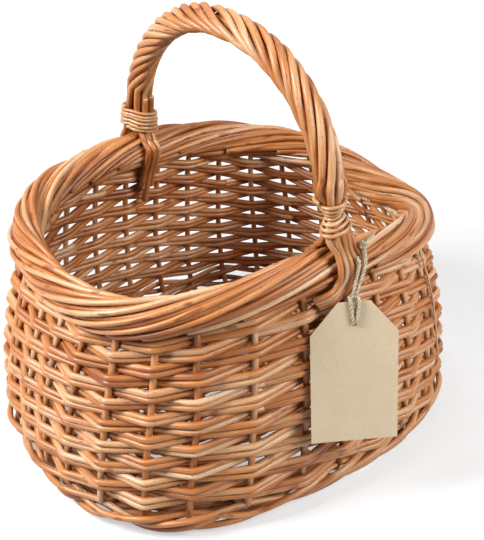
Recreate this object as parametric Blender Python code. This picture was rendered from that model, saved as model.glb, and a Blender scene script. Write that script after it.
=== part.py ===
"""Oval willow basket with a bow handle and a hanging paper tag.

X runs along the basket, Y across it and under the handle, Z up. The origin is
on the ground under the middle of the basket. Sizes are in metres.
"""

import math

import bmesh
import bpy
import numpy as np

# Body
RIM_LENGTH = 0.368          # over the rolled border
RIM_WIDTH = 0.295
OVAL_POWER = 2.45           # 2 is an ellipse, more is squarer
BODY_HEIGHT = 0.213         # ground to the top of the border, mean
RIM_SADDLE = 0.0127         # rise at the handle feet, drop at the two ends
BELLY_SWELL = 0.018         # wall outside the border at its widest
CORNER_RADIUS = 0.020       # where the base turns up into the wall
FOOT_REACH = 0.029          # stakes run this far in under the base
GROUND_FLAT = 0.0005        # depth worn flat where the base rests
MERGE = 0.00001             # a rod's ends are joined to its sides within this distance

# Rods
STAKE_COUNT = 31            # odd, so that one strand alternates by itself
STAKE_D = 0.0062
WEAVER_D = 0.0050           # thickness of the paired weavers
WEAVER_SQUEEZE_SHARE = 0.96  # height of a pair as a share of its row
WALE_D = 0.0050
WALE_RISE = 0.0054          # the wale's front rods above and below its middle
FIT = 0.0004                # clearance between rods that touch
WALE_ROOM = 0.0018          # between the foot wale and the first wall row
END_GAP = 0.0025            # between rods that follow each other in one row

# Rolled border
BORDER_HEIGHT = 0.030
BORDER_WIDTH = 0.0245
BORDER_TURN = 9             # stakes passed in one turn of a border strand
BORDER_SEAT = 0.001         # last row to the border's lowest strands
BORDER_SAG = 0.0008         # its straight strands lie this far inside its oval section

# Rows of weaving
BASE_ROUNDS = 2
WALE_ROUNDS = 1
WALL_ROUNDS = 16
WALL_BANDS = 2
BASE_START = 0.0062         # first row's middle from the tip of the stake

# Base cross and its weaving
SHORT_STICKS = 4
STICK_D = 0.0062
SHORT_STICK_SPACING = 0.026
SLIT_WALL = 0.0030          # splint left above and below a slit
SLIT_TAPER = 0.0030         # length over which a short stick swells to its slit
BASE_DOME = 0.007           # the middle of the base stands clear of the ground
FIRST_SIDE = 0.018          # first woven row from the long axis, at the short sticks
FIRST_END = 0.062           # first woven row from the middle, at the middle long stick
FAN_START = 0.046           # where the outer long sticks fan out
FAN_FIRST_SHARE = 0.12      # of their way out, where the weaving begins
BASE_RIM_GAP = 0.0004       # tips of the sticks to the tips of the stakes beside them
CHASE_D = 0.0044
CHASE_ROUNDS = 4

# Bow handle
HANDLE_TOP = 0.3705         # the bow's middle line above the ground
HANDLE_SPAN = 0.274         # between the middles of its two legs
HANDLE_FOOT = 0.0055        # above the border, where the arch begins
CORE_D = 0.010
ROPE_D = 0.0053
ROPE_RODS = 8
ROPE_RADIUS = 0.0091        # middle of a rope rod from the bow's middle line
ROPE_TURNS = 3
ROPE_STEPS = 21             # straight pieces of a rope rod's twisted part
ROPE_FIT = 0.0005
CORE_DEPTH = 0.075          # the bow's tips below the border's top
ROPE_DEPTH = 0.028          # the inner rope rods' tips below it
SPLAY_TOP = 0.046           # where the rope opens, above the border's top
SPLAY_BOTTOM = 0.0085       # where it lies open
SPLAY_OUT = 0.0075          # the outermost rod there, out from the leg's middle line
SPLAY_IN = 0.0055           # the bow there, in from the same line
SPLAY_ARC = 0.0126          # radius on which the outer rods lie there
SPLAY_STEP = 27.0           # degrees between them on it
FAN_RODS = 5                # rope rods that straddle the border, the others go down inside
FAN_PITCH = 0.0061
FAN_SIDE = 0.0024           # middle of the fan to the right of the leg, seen from outside
FAN_BEND = 0.012            # radius at which its first rod turns away under the border
FAN_TURN = 60.0             # degrees of that turn

# Lashings round the handle's feet
LASH_D = 0.0034
LASH_PITCH = 0.0042
LASH_TURNS = 6.5
LASH_POINTS = 12            # points in one turn
LASH_BOTTOM = 0.0140        # above the border's top

# Tag
TAG_WIDTH = 0.070
TAG_LENGTH = 0.117
TAG_THICK = 0.0009
TAG_NECK = 0.026            # width of the top edge between the cut corners
TAG_SHOULDER = 0.0257       # height of the cut corners
TAG_HOLE_D = 0.0060
TAG_HOLE_DROP = 0.0170      # hole below the top edge
TAG_TURN = -30.0            # degrees, the tag's face towards the left end
TAG_LEAN = 15.0             # degrees, the lower edge out from the wall
TAG_SIDE = -0.0072          # middle of its top edge from the hanging point, along the tag
TAG_STAND = 0.0100          # out from it
TAG_DROP = 0.027            # below it

# Twine
TWINE_D = 0.0018
TWINE_FIT = 0.0004
TWINE_ROOM = 0.0033         # the rod it hangs on stands this far off the border
TWINE_SPREAD = 0.0016       # and this far off the next rod
KNOT_D = 0.0052
HANG_SPREAD = 0.0048        # between the two strands where they leave the loop

HALF_X = RIM_LENGTH / 2
HALF_Y = RIM_WIDTH / 2
STAKE_R = STAKE_D / 2

for old in list(bpy.data.objects):
    bpy.data.objects.remove(old, do_unlink=True)


def new_material(name, colour, roughness):
    material = bpy.data.materials.new(name)
    material.use_nodes = True
    shader = material.node_tree.nodes["Principled BSDF"]
    shader.inputs["Base Color"].default_value = (*colour, 1.0)
    shader.inputs["Roughness"].default_value = roughness
    shader.inputs["Metallic"].default_value = 0.0
    return material


willow = new_material("peeled_willow", (0.62, 0.36, 0.17), 0.5)
willow_dark = new_material("peeled_willow_dark", (0.48, 0.25, 0.10), 0.5)
willow_pale = new_material("peeled_willow_pale", (0.72, 0.46, 0.24), 0.5)
kraft = new_material("kraft_card", (0.66, 0.53, 0.37), 0.9)
jute = new_material("jute_twine", (0.50, 0.42, 0.30), 0.95)


def pair_section(name, width, height):
    """Section of a pair of rods that lie one above the other, as a closed outline."""
    outline = bpy.data.curves.new(name, "CURVE")
    outline.dimensions = "2D"
    outline.fill_mode = "NONE"
    outline.resolution_u = 1
    outline.render_resolution_u = 0
    corners = [(-width, -height), (-width, height), (width, height), (width, -height)]
    spline = outline.splines.new("POLY")
    spline.points.add(len(corners) - 1)
    for i, (x, y) in enumerate(corners):
        spline.points[i].co = (x / 2, y / 2, 0.0, 1.0)
    spline.use_cyclic_u = True
    piece = bpy.data.objects.new(name, outline)
    bpy.context.scene.collection.objects.link(piece)
    piece.hide_render = True
    piece.hide_viewport = False
    return piece


def rod(name, points, diameter, material, section=None, scales=None, tilts=None, sides=6, twist="MINIMUM"):
    """A rod through the points, round or with the section of a pair."""
    curve = bpy.data.curves.new(name, "CURVE")
    curve.dimensions = "3D"
    curve.fill_mode = "FULL"
    curve.use_fill_caps = True
    curve.resolution_u = 1
    curve.render_resolution_u = 0
    if section:
        curve.bevel_mode = "OBJECT"
        curve.bevel_object = section
        twist = "Z_UP"
    else:
        curve.bevel_depth = diameter / 2
        curve.bevel_resolution = (sides - 4) // 2
    curve.twist_mode = twist
    spline = curve.splines.new("POLY")
    spline.points.add(len(points) - 1)
    for i, point in enumerate(points):
        spline.points[i].co = (*point, 1.0)
        if scales is not None:
            spline.points[i].radius = scales[i]
        if tilts is not None:
            spline.points[i].tilt = tilts[i]
    curve.materials.append(material)
    piece = bpy.data.objects.new(name, curve)
    bpy.context.scene.collection.objects.link(piece)
    return piece


def as_mesh(piece):
    """The same piece with its curve turned into a mesh."""
    depsgraph = bpy.context.evaluated_depsgraph_get()
    mesh = bpy.data.meshes.new_from_object(piece.evaluated_get(depsgraph))
    name = piece.name
    bpy.data.objects.remove(piece, do_unlink=True)
    solid = bpy.data.objects.new(name, mesh)
    bpy.context.scene.collection.objects.link(solid)
    return solid


# The rim oval, sampled once and walked by its length
OVAL_SAMPLES = 2880
oval_angles = np.linspace(0.0, 2 * math.pi, OVAL_SAMPLES + 1)


def oval_at(angle):
    """A point of the rim oval in the direction of an angle."""
    c, s = np.cos(angle), np.sin(angle)
    reach = (np.abs(c / HALF_X) ** OVAL_POWER + np.abs(s / HALF_Y) ** OVAL_POWER) ** (-1 / OVAL_POWER)
    return reach * c, reach * s


oval_x, oval_y = oval_at(oval_angles)
oval_steps = np.hypot(np.diff(oval_x), np.diff(oval_y))
oval_length = np.concatenate([[0.0], np.cumsum(oval_steps)])
RIM_GIRTH = float(oval_length[-1])
STAKE_SPACING = RIM_GIRTH / STAKE_COUNT


def rim_frame(stake):
    """Place on the rim oval and the way out from it, at a stake number that may be a fraction."""
    share = (stake / STAKE_COUNT) % 1.0
    angle = np.interp(share * RIM_GIRTH, oval_length, oval_angles)
    x, y = oval_at(angle)
    out_x = math.copysign(abs(x / HALF_X) ** (OVAL_POWER - 1), x) / HALF_X
    out_y = math.copysign(abs(y / HALF_Y) ** (OVAL_POWER - 1), y) / HALF_Y
    size = math.hypot(out_x, out_y)
    return np.array([x, y]), np.array([out_x, out_y]) / size, angle


def rim_top(angle):
    """Height of the border's top: low at the ends, high at the handle."""
    return BODY_HEIGHT - RIM_SADDLE * math.cos(2 * angle)


def zigzag(reach, step, turn=0.0):
    """Offset at which a strand that crosses the wall in every step clears a stake by the reach.

    The turn is the angle by which the wall itself bends away from the strand on each side.
    """
    return reach / math.cos(math.asin(2 * reach / step) + turn)


def rim_bend(stake):
    """Half the angle between the ways out half a spacing before and after a stake."""
    before, after = rim_frame(stake - 0.5)[1], rim_frame(stake + 0.5)[1]
    return math.acos(min(1.0, float(before @ after))) / 2


# Height of the wall's middle surface over the ground, so that the lowest rods rest on it
PAIR_OFFSET = zigzag(STAKE_R + FIT + WEAVER_D / 2, STAKE_SPACING)
BASE_HEIGHT = PAIR_OFFSET + WEAVER_D / 2 - GROUND_FLAT
# The same surface from the rim oval: out at the belly, in at the border
BELLY_OFFSET = BELLY_SWELL - PAIR_OFFSET - WEAVER_D / 2
TOP_OFFSET = -BORDER_WIDTH / 2
CORNER_TOP = BASE_HEIGHT + CORNER_RADIUS
CORNER_STEPS = 3            # straight pieces of a stake's line round the corner
WALL_STEPS = 3              # and up the wall


def wall_profile(angle):
    """The wall's middle line from the stake's tip to the border: distance, offset and height."""
    top = rim_top(angle) - BORDER_HEIGHT
    start = BELLY_OFFSET - CORNER_RADIUS
    turn = np.linspace(-math.pi / 2, 0.0, CORNER_STEPS + 1)
    rise = np.linspace(0.0, 1.0, WALL_STEPS + 1)[1:]
    offsets = np.concatenate([
        [start - FOOT_REACH],
        start + CORNER_RADIUS * np.cos(turn),
        BELLY_OFFSET - (BELLY_OFFSET - TOP_OFFSET) * rise ** 2,
    ])
    heights = np.concatenate([
        [BASE_HEIGHT],
        CORNER_TOP + CORNER_RADIUS * np.sin(turn),
        CORNER_TOP + (top - CORNER_TOP) * rise,
    ])
    steps = np.hypot(np.diff(offsets), np.diff(heights))
    return np.concatenate([[0.0], np.cumsum(steps)]), offsets, heights


def wall_frame(stake, distance, out=0.0):
    """A point at a distance along the wall's profile from the stake's tip, and the slope there."""
    place, outward, angle = rim_frame(stake)
    lengths, offsets, heights = wall_profile(angle)
    offset = np.interp(distance, lengths, offsets)
    height = np.interp(distance, lengths, heights)
    probe = STAKE_R
    ahead = np.interp(distance + probe, lengths, offsets) - np.interp(distance - probe, lengths, offsets)
    climb = np.interp(distance + probe, lengths, heights) - np.interp(distance - probe, lengths, heights)
    lean = math.atan2(ahead, climb)
    offset += out * math.cos(lean)
    height -= out * math.sin(lean)
    flat = place + outward * offset
    return np.array([flat[0], flat[1], height]), lean


def bulge(stake, distance, side, half):
    """How far the wall's middle line leans to one side of its tangent within a half height."""
    lengths, offsets, heights = wall_profile(rim_frame(stake)[2])
    point, lean = wall_frame(stake, distance)
    spots = np.array([distance - half, distance, distance + half])
    aside = np.interp(spots, lengths, offsets) * math.cos(lean)
    aside -= np.interp(spots, lengths, heights) * math.sin(lean)
    return max(0.0, float((side * (aside - aside[1])).max()))


def stop_short(points):
    """Cut the last stretch short of the rod that follows on."""
    reach = points[-1] - points[-2]
    points[-1] = points[-2] + reach * (1 - END_GAP / np.linalg.norm(reach))


# Base and wall weaving: pairs of rods that pass in front of one stake and behind the next
def woven_band(name, first, last, place, material):
    """One pair of rods wound round the stakes from one stake number to another."""
    points, tilts, scales = [], [], []
    count = last - first
    for i in range(count + 1):
        stake = first + i
        distance, scale = place(stake)
        side = 1 if stake % 2 else -1
        clear = STAKE_R + FIT + WEAVER_D * scale / 2 + bulge(stake, distance, side, ROW_HEIGHT / 2)
        lean = wall_frame(stake, distance)[1]
        turn = side * rim_bend(stake) * math.cos(lean)
        point = wall_frame(stake, distance, side * zigzag(clear, STAKE_SPACING, turn))[0]
        points.append(point)
        tilts.append(lean)
        scales.append(scale)
    stop_short(points)
    return rod(name, points, WEAVER_D, material, pair, scales, tilts)


def wall_room(stake):
    """Length of the wall's profile left for its rows at a stake."""
    return wall_profile(rim_frame(stake)[2])[0][-1] - WALL_START - BORDER_SEAT


def wall_row(stake):
    """Distance of a wall row's middle from the stake's tip, and the size of its rods."""
    pitch = wall_room(stake) / (WALL_ROUNDS + 1)
    return WALL_START + (stake / STAKE_COUNT + 0.5) * pitch, pitch / ROW_HEIGHT


def base_row(stake):
    """The same for the rows that lie flat under the base."""
    return BASE_START + stake / STAKE_COUNT * ROW_HEIGHT, 1.0


# The rows follow each other up the stakes: base rows, foot wale, wall rows
MEAN_STAKE = STAKE_COUNT / 8
WALE_HALF = WALE_RISE + WALE_D / 2
WALE_PITCH = 2 * WALE_HALF + FIT


def row_height(wall_start):
    """Mean height of a wall row when the first begins at this distance."""
    return (wall_profile(rim_frame(MEAN_STAKE)[2])[0][-1] - wall_start - BORDER_SEAT) / (WALL_ROUNDS + 1)


ROW_HEIGHT = row_height(BASE_START + WALE_ROUNDS * WALE_PITCH + BASE_ROUNDS * 2 * WEAVER_D)
WALE_START = BASE_START + (BASE_ROUNDS - 0.5) * ROW_HEIGHT + FIT + WALE_HALF
WALL_START = WALE_START + (WALE_ROUNDS - 1) * WALE_PITCH + WALE_HALF + WALE_ROOM
ROW_HEIGHT = row_height(WALL_START)
pair = pair_section("pair_section", WEAVER_D, ROW_HEIGHT * WEAVER_SQUEEZE_SHARE)

band_stakes = WALL_ROUNDS * STAKE_COUNT // WALL_BANDS
band_materials = [willow, willow_pale]
for band in range(WALL_BANDS):
    woven_band(f"wall_weave_{band + 1}", band * band_stakes, (band + 1) * band_stakes,
               wall_row, band_materials[band % len(band_materials)])
base_edge = as_mesh(woven_band("base_edge_weave", 0, BASE_ROUNDS * STAKE_COUNT, base_row, willow_pale))


def wear_flat(solid):
    """Cut a piece flat where the basket stands on it."""
    worn = bmesh.new()
    worn.from_mesh(solid.data)
    bmesh.ops.remove_doubles(worn, verts=worn.verts[:], dist=MERGE)
    bmesh.ops.bisect_plane(worn, geom=worn.verts[:] + worn.edges[:] + worn.faces[:],
                           plane_co=(0, 0, 0), plane_no=(0, 0, -1), clear_outer=True)
    bmesh.ops.holes_fill(worn, edges=[edge for edge in worn.edges if edge.is_boundary])
    bmesh.ops.recalc_face_normals(worn, faces=worn.faces[:])
    worn.to_mesh(solid.data)
    worn.free()


wear_flat(base_edge)


# Foot wale: three rods, each in front of two stakes and behind the third
WALE_OFFSET = zigzag(STAKE_R + FIT + WALE_D / 2, STAKE_SPACING)
WALE_STEPS = [(-1, 0), (1, 1), (1, -1)]
for strand in range(len(WALE_STEPS)):
    points = []
    for i in range(WALE_ROUNDS * STAKE_COUNT + 1):
        side, level = WALE_STEPS[(i + strand) % len(WALE_STEPS)]
        round_number = min(i // STAKE_COUNT, WALE_ROUNDS - 1)
        distance = WALE_START + i / STAKE_COUNT * ROW_HEIGHT + round_number * (WALE_PITCH - ROW_HEIGHT)
        points.append(wall_frame(i, distance + level * WALE_RISE, side * WALE_OFFSET)[0])
    stop_short(points)
    wear_flat(as_mesh(rod(f"foot_wale_{strand + 1}", points, WALE_D, willow_dark, sides=4)))


# Rolled border: where a strand lies in the border's section, walked by length
SECTION_X = BORDER_WIDTH / 2 - STAKE_R
SECTION_Z = BORDER_HEIGHT / 2 - STAKE_R
section_turn = np.linspace(0.0, 2 * math.pi, 721)
section_x = -SECTION_X * np.sin(section_turn)
section_z = -SECTION_Z * np.cos(section_turn)
section_walk = np.concatenate([[0.0], np.cumsum(np.hypot(np.diff(section_x), np.diff(section_z)))])


def border_point(stake, turns):
    """A point of a border strand: it starts at the bottom, climbs inside and falls outside."""
    place, outward, angle = rim_frame(stake)
    walk = turns % 1.0 * section_walk[-1]
    aside = np.interp(walk, section_walk, section_x)
    above = np.interp(walk, section_walk, section_z)
    flat = place + outward * (aside - BORDER_WIDTH / 2)
    return np.array([flat[0], flat[1], rim_top(angle) - BORDER_HEIGHT / 2 + above])


BEND_SHARE = 0.6            # of a stake's half thickness, where it bends into the border
# Stakes: foot under the base, up the wall, then once round the border over nine spacings
for number in range(STAKE_COUNT):
    place, outward, angle = rim_frame(number)
    lengths, offsets, heights = wall_profile(angle)
    path = [(*(place + outward * offset), height) for offset, height in zip(offsets, heights)]
    path = [np.array(point) for point in path]
    rim_bottom = border_point(number, 0.0)
    along = border_point(number - 1, 0.0) - rim_bottom
    bend = along / np.linalg.norm(along) * STAKE_R * BEND_SHARE
    path.append(rim_bottom + bend - np.array([0.0, 0.0, STAKE_R * (1 - BEND_SHARE)]))
    for passed in range(1, BORDER_TURN):
        path.append(border_point(number - passed, passed / BORDER_TURN))
    rod(f"stake_{number + 1:02d}", path, STAKE_D, (willow, willow_pale, willow_dark)[number % 3])


# Base cross: short sticks slit in the middle, long sticks through the slits
TIP_OFFSET = BELLY_OFFSET - CORNER_RADIUS - FOOT_REACH - BASE_RIM_GAP
STICK_ENDS = 2 * (SHORT_STICKS + 3)
STICK_R = STICK_D / 2
LONG_PITCH = STICK_D + FIT
BASE_MIDDLE = BASE_HEIGHT + BASE_DOME


def stick_tip(end):
    """Tip of a base stick, close beside the stake that is nearest to its even share of the edge."""
    share = end / STICK_ENDS * STAKE_COUNT
    place, outward, angle = rim_frame(round(share))
    aside = np.array([-outward[1], outward[0]]) * (1 if share >= round(share) else -1)
    return place + outward * TIP_OFFSET + aside * (STAKE_R + STICK_R + FIT)


def base_point(flat, share):
    """A point of a base stick's line; the share runs from the first woven row to the tip."""
    return np.array([flat[0], flat[1], BASE_HEIGHT + BASE_DOME * (1 - share ** 2)])


def first_row(end):
    """Where the first woven row crosses a base stick."""
    half = STICK_ENDS // 2
    side = 1 if end % half != 0 and end < half else -1
    turned = end if end < half else STICK_ENDS - end
    if turned == 0 or turned == half:
        return np.array([FIRST_END if turned == 0 else -FIRST_END, 0.0])
    if turned in (1, half - 1):
        bend = np.array([FAN_START if turned == 1 else -FAN_START, side * LONG_PITCH])
        return bend + (stick_tip(end) - bend) * FAN_FIRST_SHARE
    column = (SHORT_STICKS + 1) / 2 - (turned - 1)
    return np.array([column * SHORT_STICK_SPACING, side * FIRST_SIDE])


STICK_LEGS = (0.0, 0.4, 0.75, 1.0)


def stick_leg(end):
    """Points of one end of a base stick from the first woven row to its tip."""
    first, tip = first_row(end), stick_tip(end)
    return [base_point(first + (tip - first) * share, share) for share in STICK_LEGS]


for number, (end, far_end) in enumerate([(1, 6), (0, 7), (13, 8)]):
    side = (1, 0, -1)[number]
    bends = [np.array([x, side * LONG_PITCH, BASE_MIDDLE]) for x in (FAN_START, -FAN_START)]
    rod(f"base_long_stick_{number + 1}", stick_leg(end)[::-1] + bends + stick_leg(far_end), STICK_D, willow)

SLIT_HALF = LONG_PITCH + STICK_R + FIT
SLIT_HEIGHT = STICK_D + 2 * FIT
SWELL = (SLIT_HEIGHT / 2 + SLIT_WALL) / STICK_R
for number in range(SHORT_STICKS):
    upper, lower = number + 2, STICK_ENDS - number - 2
    column = first_row(upper)[0]
    swell_ends = (SLIT_HALF + SLIT_TAPER, SLIT_HALF, -SLIT_HALF, -SLIT_HALF - SLIT_TAPER)
    middle = [np.array([column, y, BASE_MIDDLE]) for y in swell_ends]
    path = stick_leg(upper)[::-1] + middle + stick_leg(lower)
    legs = [1.0] * len(STICK_LEGS)
    stick = as_mesh(rod(f"base_short_stick_{number + 1}", path, STICK_D, willow_dark,
                        scales=legs + [1.0, SWELL, SWELL, 1.0] + legs, twist="Z_UP"))
    # the split stick swells up and down only
    for vertex in stick.data.vertices:
        if abs(vertex.co.y) < SLIT_HALF + SLIT_TAPER / 2:
            vertex.co.x = column + (vertex.co.x - column) / SWELL
    bpy.ops.mesh.primitive_cube_add(size=1, location=(column, 0, BASE_MIDDLE))
    slit = bpy.context.object
    slit.name = f"slit_cutter_{number + 1}"
    slit.scale = (SHORT_STICK_SPACING, 2 * SLIT_HALF, SLIT_HEIGHT)
    slit.hide_render = True
    slit.display_type = "WIRE"
    carve = stick.modifiers.new("slit", "BOOLEAN")
    carve.operation = "DIFFERENCE"
    carve.solver = "EXACT"
    carve.object = slit

# Base weaving: two pairs of rods chase each other, one over where the other goes under
CHASE_ROWS = 2 * CHASE_ROUNDS


def chase_place(end, row):
    """Crossing of a woven row and a base stick, on the base's middle surface."""
    share = (row + 0.5) / (CHASE_ROWS + 2)
    first, tip = first_row(end % STICK_ENDS), stick_tip(end % STICK_ENDS)
    return base_point(first + (tip - first) * share, share)


for strand in range(2):
    points = []
    for i in range(CHASE_ROUNDS * STICK_ENDS + 1):
        row = 2 * i / STICK_ENDS + strand
        point = chase_place(i, row)
        step = min(np.linalg.norm(chase_place(i + way, row) - point) for way in (-1, 1))
        level = 1 if (i + strand) % 2 else -1
        rise = zigzag(STICK_R + FIT + CHASE_D / 2, step)
        points.append(point + np.array([0.0, 0.0, level * rise]))
    rod(f"base_weave_{strand + 1}", points, CHASE_D, (willow, willow_pale)[strand], sides=4)


# Handle: places in a foot's own measures are side, out and up, seen from outside that foot
HANDLE_TOP_EDGE = rim_top(math.pi / 2)
ARCH_START = HANDLE_TOP_EDGE + HANDLE_FOOT
ARCH_HALF = HANDLE_SPAN / 2
ARCH_RISE = HANDLE_TOP - ARCH_START
CORE_R = CORE_D / 2
ROPE_R = ROPE_D / 2
OPEN_TURN = math.asin((SPLAY_TOP - HANDLE_FOOT) / ARCH_RISE)
SECTION_OUT = HALF_Y - BORDER_WIDTH / 2
SECTION_UP = HANDLE_TOP_EDGE - BORDER_HEIGHT / 2


def to_world(place, near):
    """Turn a foot's side, out and up into X, Y and Z: near is the foot on the -Y side."""
    side, out, up = place
    return np.array([side, -out, up]) if near else np.array([-side, out, up])


def arch_point(turn):
    """The bow's middle line, from the far foot over the top to the near one."""
    return np.array([0.0, ARCH_HALF * math.cos(turn), ARCH_START + ARCH_RISE * math.sin(turn)])


def arch_out(turn):
    """The way out from the bow, square to its middle line."""
    out = np.array([0.0, ARCH_RISE * math.cos(turn), ARCH_HALF * math.sin(turn)])
    return out / np.linalg.norm(out)


def leg_out(up):
    """How far out the bow's leg stands at a height."""
    return ARCH_HALF * math.sqrt(1 - ((up - ARCH_START) / ARCH_RISE) ** 2)


def round_border(degrees, gap, step=0.0):
    """Out and up of a place off the border's section. A step makes room for straight pieces."""
    room = math.cos(math.radians(step) / 2)
    turn = math.radians(degrees)
    return (SECTION_OUT + ((BORDER_WIDTH / 2 + gap) / room - BORDER_SAG) * math.cos(turn),
            SECTION_UP + ((BORDER_HEIGHT / 2 + gap) / room - BORDER_SAG) * math.sin(turn))


def wall_out(up, gap, sign):
    """How far out the wall's crests stand under the handle, outside (+1) or inside (-1)."""
    lengths, offsets, heights = wall_profile(math.pi / 2)
    return HALF_Y + np.interp(up, heights, offsets) + sign * (PAIR_OFFSET + WEAVER_D / 2 + gap)


arch_turns = np.linspace(OPEN_TURN, math.pi - OPEN_TURN, ROPE_STEPS + 1)
SPLAY_LEVEL = HANDLE_TOP_EDGE + SPLAY_BOTTOM
LEG_AT_SPLAY = leg_out(SPLAY_LEVEL)

# The bow's line down inside the basket, from where the rope lies open
INNER_STEP = 25.0           # degrees, straight pieces round the border
INNER_TURNS = (130.0, 155.0, 180.0)
core_leg = [(0.0, LEG_AT_SPLAY - SPLAY_IN, SPLAY_LEVEL)]
core_leg += [(0.0, *round_border(degrees, ROPE_FIT + CORE_R, INNER_STEP)) for degrees in INNER_TURNS]
core_low = [HANDLE_TOP_EDGE - ROPE_DEPTH - (CORE_DEPTH - ROPE_DEPTH) * share for share in (0.0, 0.5, 1.0)]
core_leg += [(0.0, wall_out(up, ROPE_FIT + CORE_R, -1), up) for up in core_low]

far_leg = [to_world(place, False) for place in core_leg]
near_leg = [to_world(place, True) for place in core_leg]
rod("handle_core", far_leg[::-1] + [arch_point(turn) for turn in arch_turns] + near_leg, CORE_D, willow_dark)


def inner_leg(side, inward):
    """A rope rod that runs down beside the bow, inside the basket."""
    places = []
    above = (0.0, ARCH_HALF * math.cos(OPEN_TURN), HANDLE_TOP_EDGE + SPLAY_TOP)
    for i in range(len(core_leg) - len(core_low) + 1):
        before, after = core_leg[i - 1] if i else above, core_leg[i + 1]
        run = np.array([after[1] - before[1], after[2] - before[2]])
        square = np.array([run[1], -run[0]]) / np.linalg.norm(run)
        out, up = np.array(core_leg[i][1:]) + square * inward
        places.append((side, out, up))
    return places


FAN_STEP = 35.0             # degrees, straight pieces round the border
FAN_TURNS = (50.0, 15.0)
fan_turn = math.radians(FAN_TURN)


def fan_leg(slot, hangs):
    """A rope rod that straddles the border and turns away to the left below it."""
    turn = math.radians(SPLAY_STEP * slot)
    splay_out = LEG_AT_SPLAY + SPLAY_OUT - SPLAY_ARC * (1 - math.cos(turn))
    places = [(SPLAY_ARC * math.sin(turn), splay_out, SPLAY_LEVEL)]
    gap = ROPE_FIT + ROPE_R + (TWINE_ROOM if hangs else 0.0)
    side = FAN_SIDE + slot * FAN_PITCH + (TWINE_SPREAD if hangs else 0.0)
    places += [(side, *round_border(degrees, gap, FAN_STEP)) for degrees in FAN_TURNS]
    centre = FAN_SIDE - FAN_RODS // 2 * FAN_PITCH - FAN_BEND
    radius = side - centre
    for share in (0.5, 1.0):
        up = places[2][2] - radius * math.sin(fan_turn * share)
        out = max(places[2][1], wall_out(up, gap, 1))
        places.append((centre + radius * math.cos(fan_turn * share), out, up))
    return places


def rope_leg(slot, near):
    """One end of a rope rod, in the foot's own measures. Slot 0 is the outermost rod."""
    own = slot if near else -slot
    if abs(slot) <= FAN_RODS // 2:
        return fan_leg(own, near and slot == FAN_RODS // 2)
    turn = 2 * math.pi * own / ROPE_RODS
    return inner_leg(ROPE_RADIUS * math.sin(turn), -ROPE_RADIUS * math.cos(turn))


rope_slots = [slot - ROPE_RODS // 2 + 1 for slot in range(ROPE_RODS)]
rope_lines = []
for number, slot in enumerate(rope_slots):
    path = [to_world(place, False) for place in rope_leg(slot, False)][::-1]
    for i, turn in enumerate(arch_turns):
        phase = 2 * math.pi * (slot / ROPE_RODS - ROPE_TURNS * i / ROPE_STEPS)
        aside = arch_out(turn) * math.cos(phase) + np.array([math.sin(phase), 0.0, 0.0])
        path.append(arch_point(turn) + aside * ROPE_RADIUS)
    path += [to_world(place, True) for place in rope_leg(slot, True)]
    rope_lines.append(path)
    rod(f"rope_rod_{number + 1}", path, ROPE_D, (willow, willow_pale)[number % 2])


# Lashings: one rod wound round each foot, just clear of everything inside it
LASH_R = LASH_D / 2
LASH_HEIGHT = LASH_TURNS * LASH_PITCH


def lash_ring(up):
    """Middle (out) and radius of the round that just holds the rods of a foot at a height."""
    feet = []
    for line in rope_lines:
        places = [(point[0], -point[1], point[2]) for point in line if point[1] < 0]
        ups = [place[2] for place in places]
        feet.append([np.interp(-up, [-level for level in ups], [place[k] for place in places])
                     for k in range(2)])
    feet = np.array(feet)
    middle = (feet[:, 1].max() + feet[:, 1].min()) / 2
    return middle, float(np.hypot(feet[:, 0], feet[:, 1] - middle).max()) + ROPE_R


def lashing(name, near):
    points = []
    steps = int(LASH_TURNS * LASH_POINTS)
    room = math.cos(math.pi / LASH_POINTS)
    for i in range(steps + 1):
        up = HANDLE_TOP_EDGE + LASH_BOTTOM + i / steps * LASH_HEIGHT
        middle, radius = lash_ring(up)
        reach = (radius + ROPE_FIT + LASH_R) / room
        turn = 2 * math.pi * i / LASH_POINTS + math.pi / 2
        points.append(to_world((reach * math.sin(turn), middle + reach * math.cos(turn), up), near))
    rod(name, points, LASH_D, willow_pale)
    tops = np.array(points)
    gap = min(np.linalg.norm(tops[i] - tops[i + LASH_POINTS]) for i in range(steps + 1 - LASH_POINTS)) - LASH_D
    print(f"{name}: {LASH_TURNS} turns, least gap to itself {gap * 1000:.2f} mm")


lashing("lashing_near", True)
lashing("lashing_far", False)


# Tag: a card with two corners cut off and a hole, hung in front of the near foot
tag_turn, tag_lean = math.radians(TAG_TURN), math.radians(TAG_LEAN)
tag_along = np.array([math.cos(tag_turn), math.sin(tag_turn), 0.0])
tag_away = np.array([math.sin(tag_turn), -math.cos(tag_turn), 0.0])
tag_down = tag_away * math.sin(tag_lean) - np.array([0.0, 0.0, math.cos(tag_lean)])
tag_front = tag_away * math.cos(tag_lean) + np.array([0.0, 0.0, math.sin(tag_lean)])

# The card hangs from a line in front of the fan, level and along the card
last_slot = FAN_RODS // 2
hang_side = FAN_SIDE + (last_slot - 0.5) * FAN_PITCH + TWINE_SPREAD / 2
hang_gap = TWINE_ROOM + 2 * ROPE_R + ROPE_FIT + TWINE_FIT + TWINE_D / 2
hang_out, hang_up = round_border(FAN_TURNS[-1], hang_gap, FAN_STEP)
hang_point = to_world((hang_side, hang_out, hang_up), True)
tag_top = hang_point + tag_along * TAG_SIDE + tag_away * TAG_STAND - np.array([0.0, 0.0, TAG_DROP])


def on_tag(along, down, front):
    """A place by the card's own measures from the middle of its top edge."""
    return tag_top + tag_along * along + tag_down * down + tag_front * front


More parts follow.
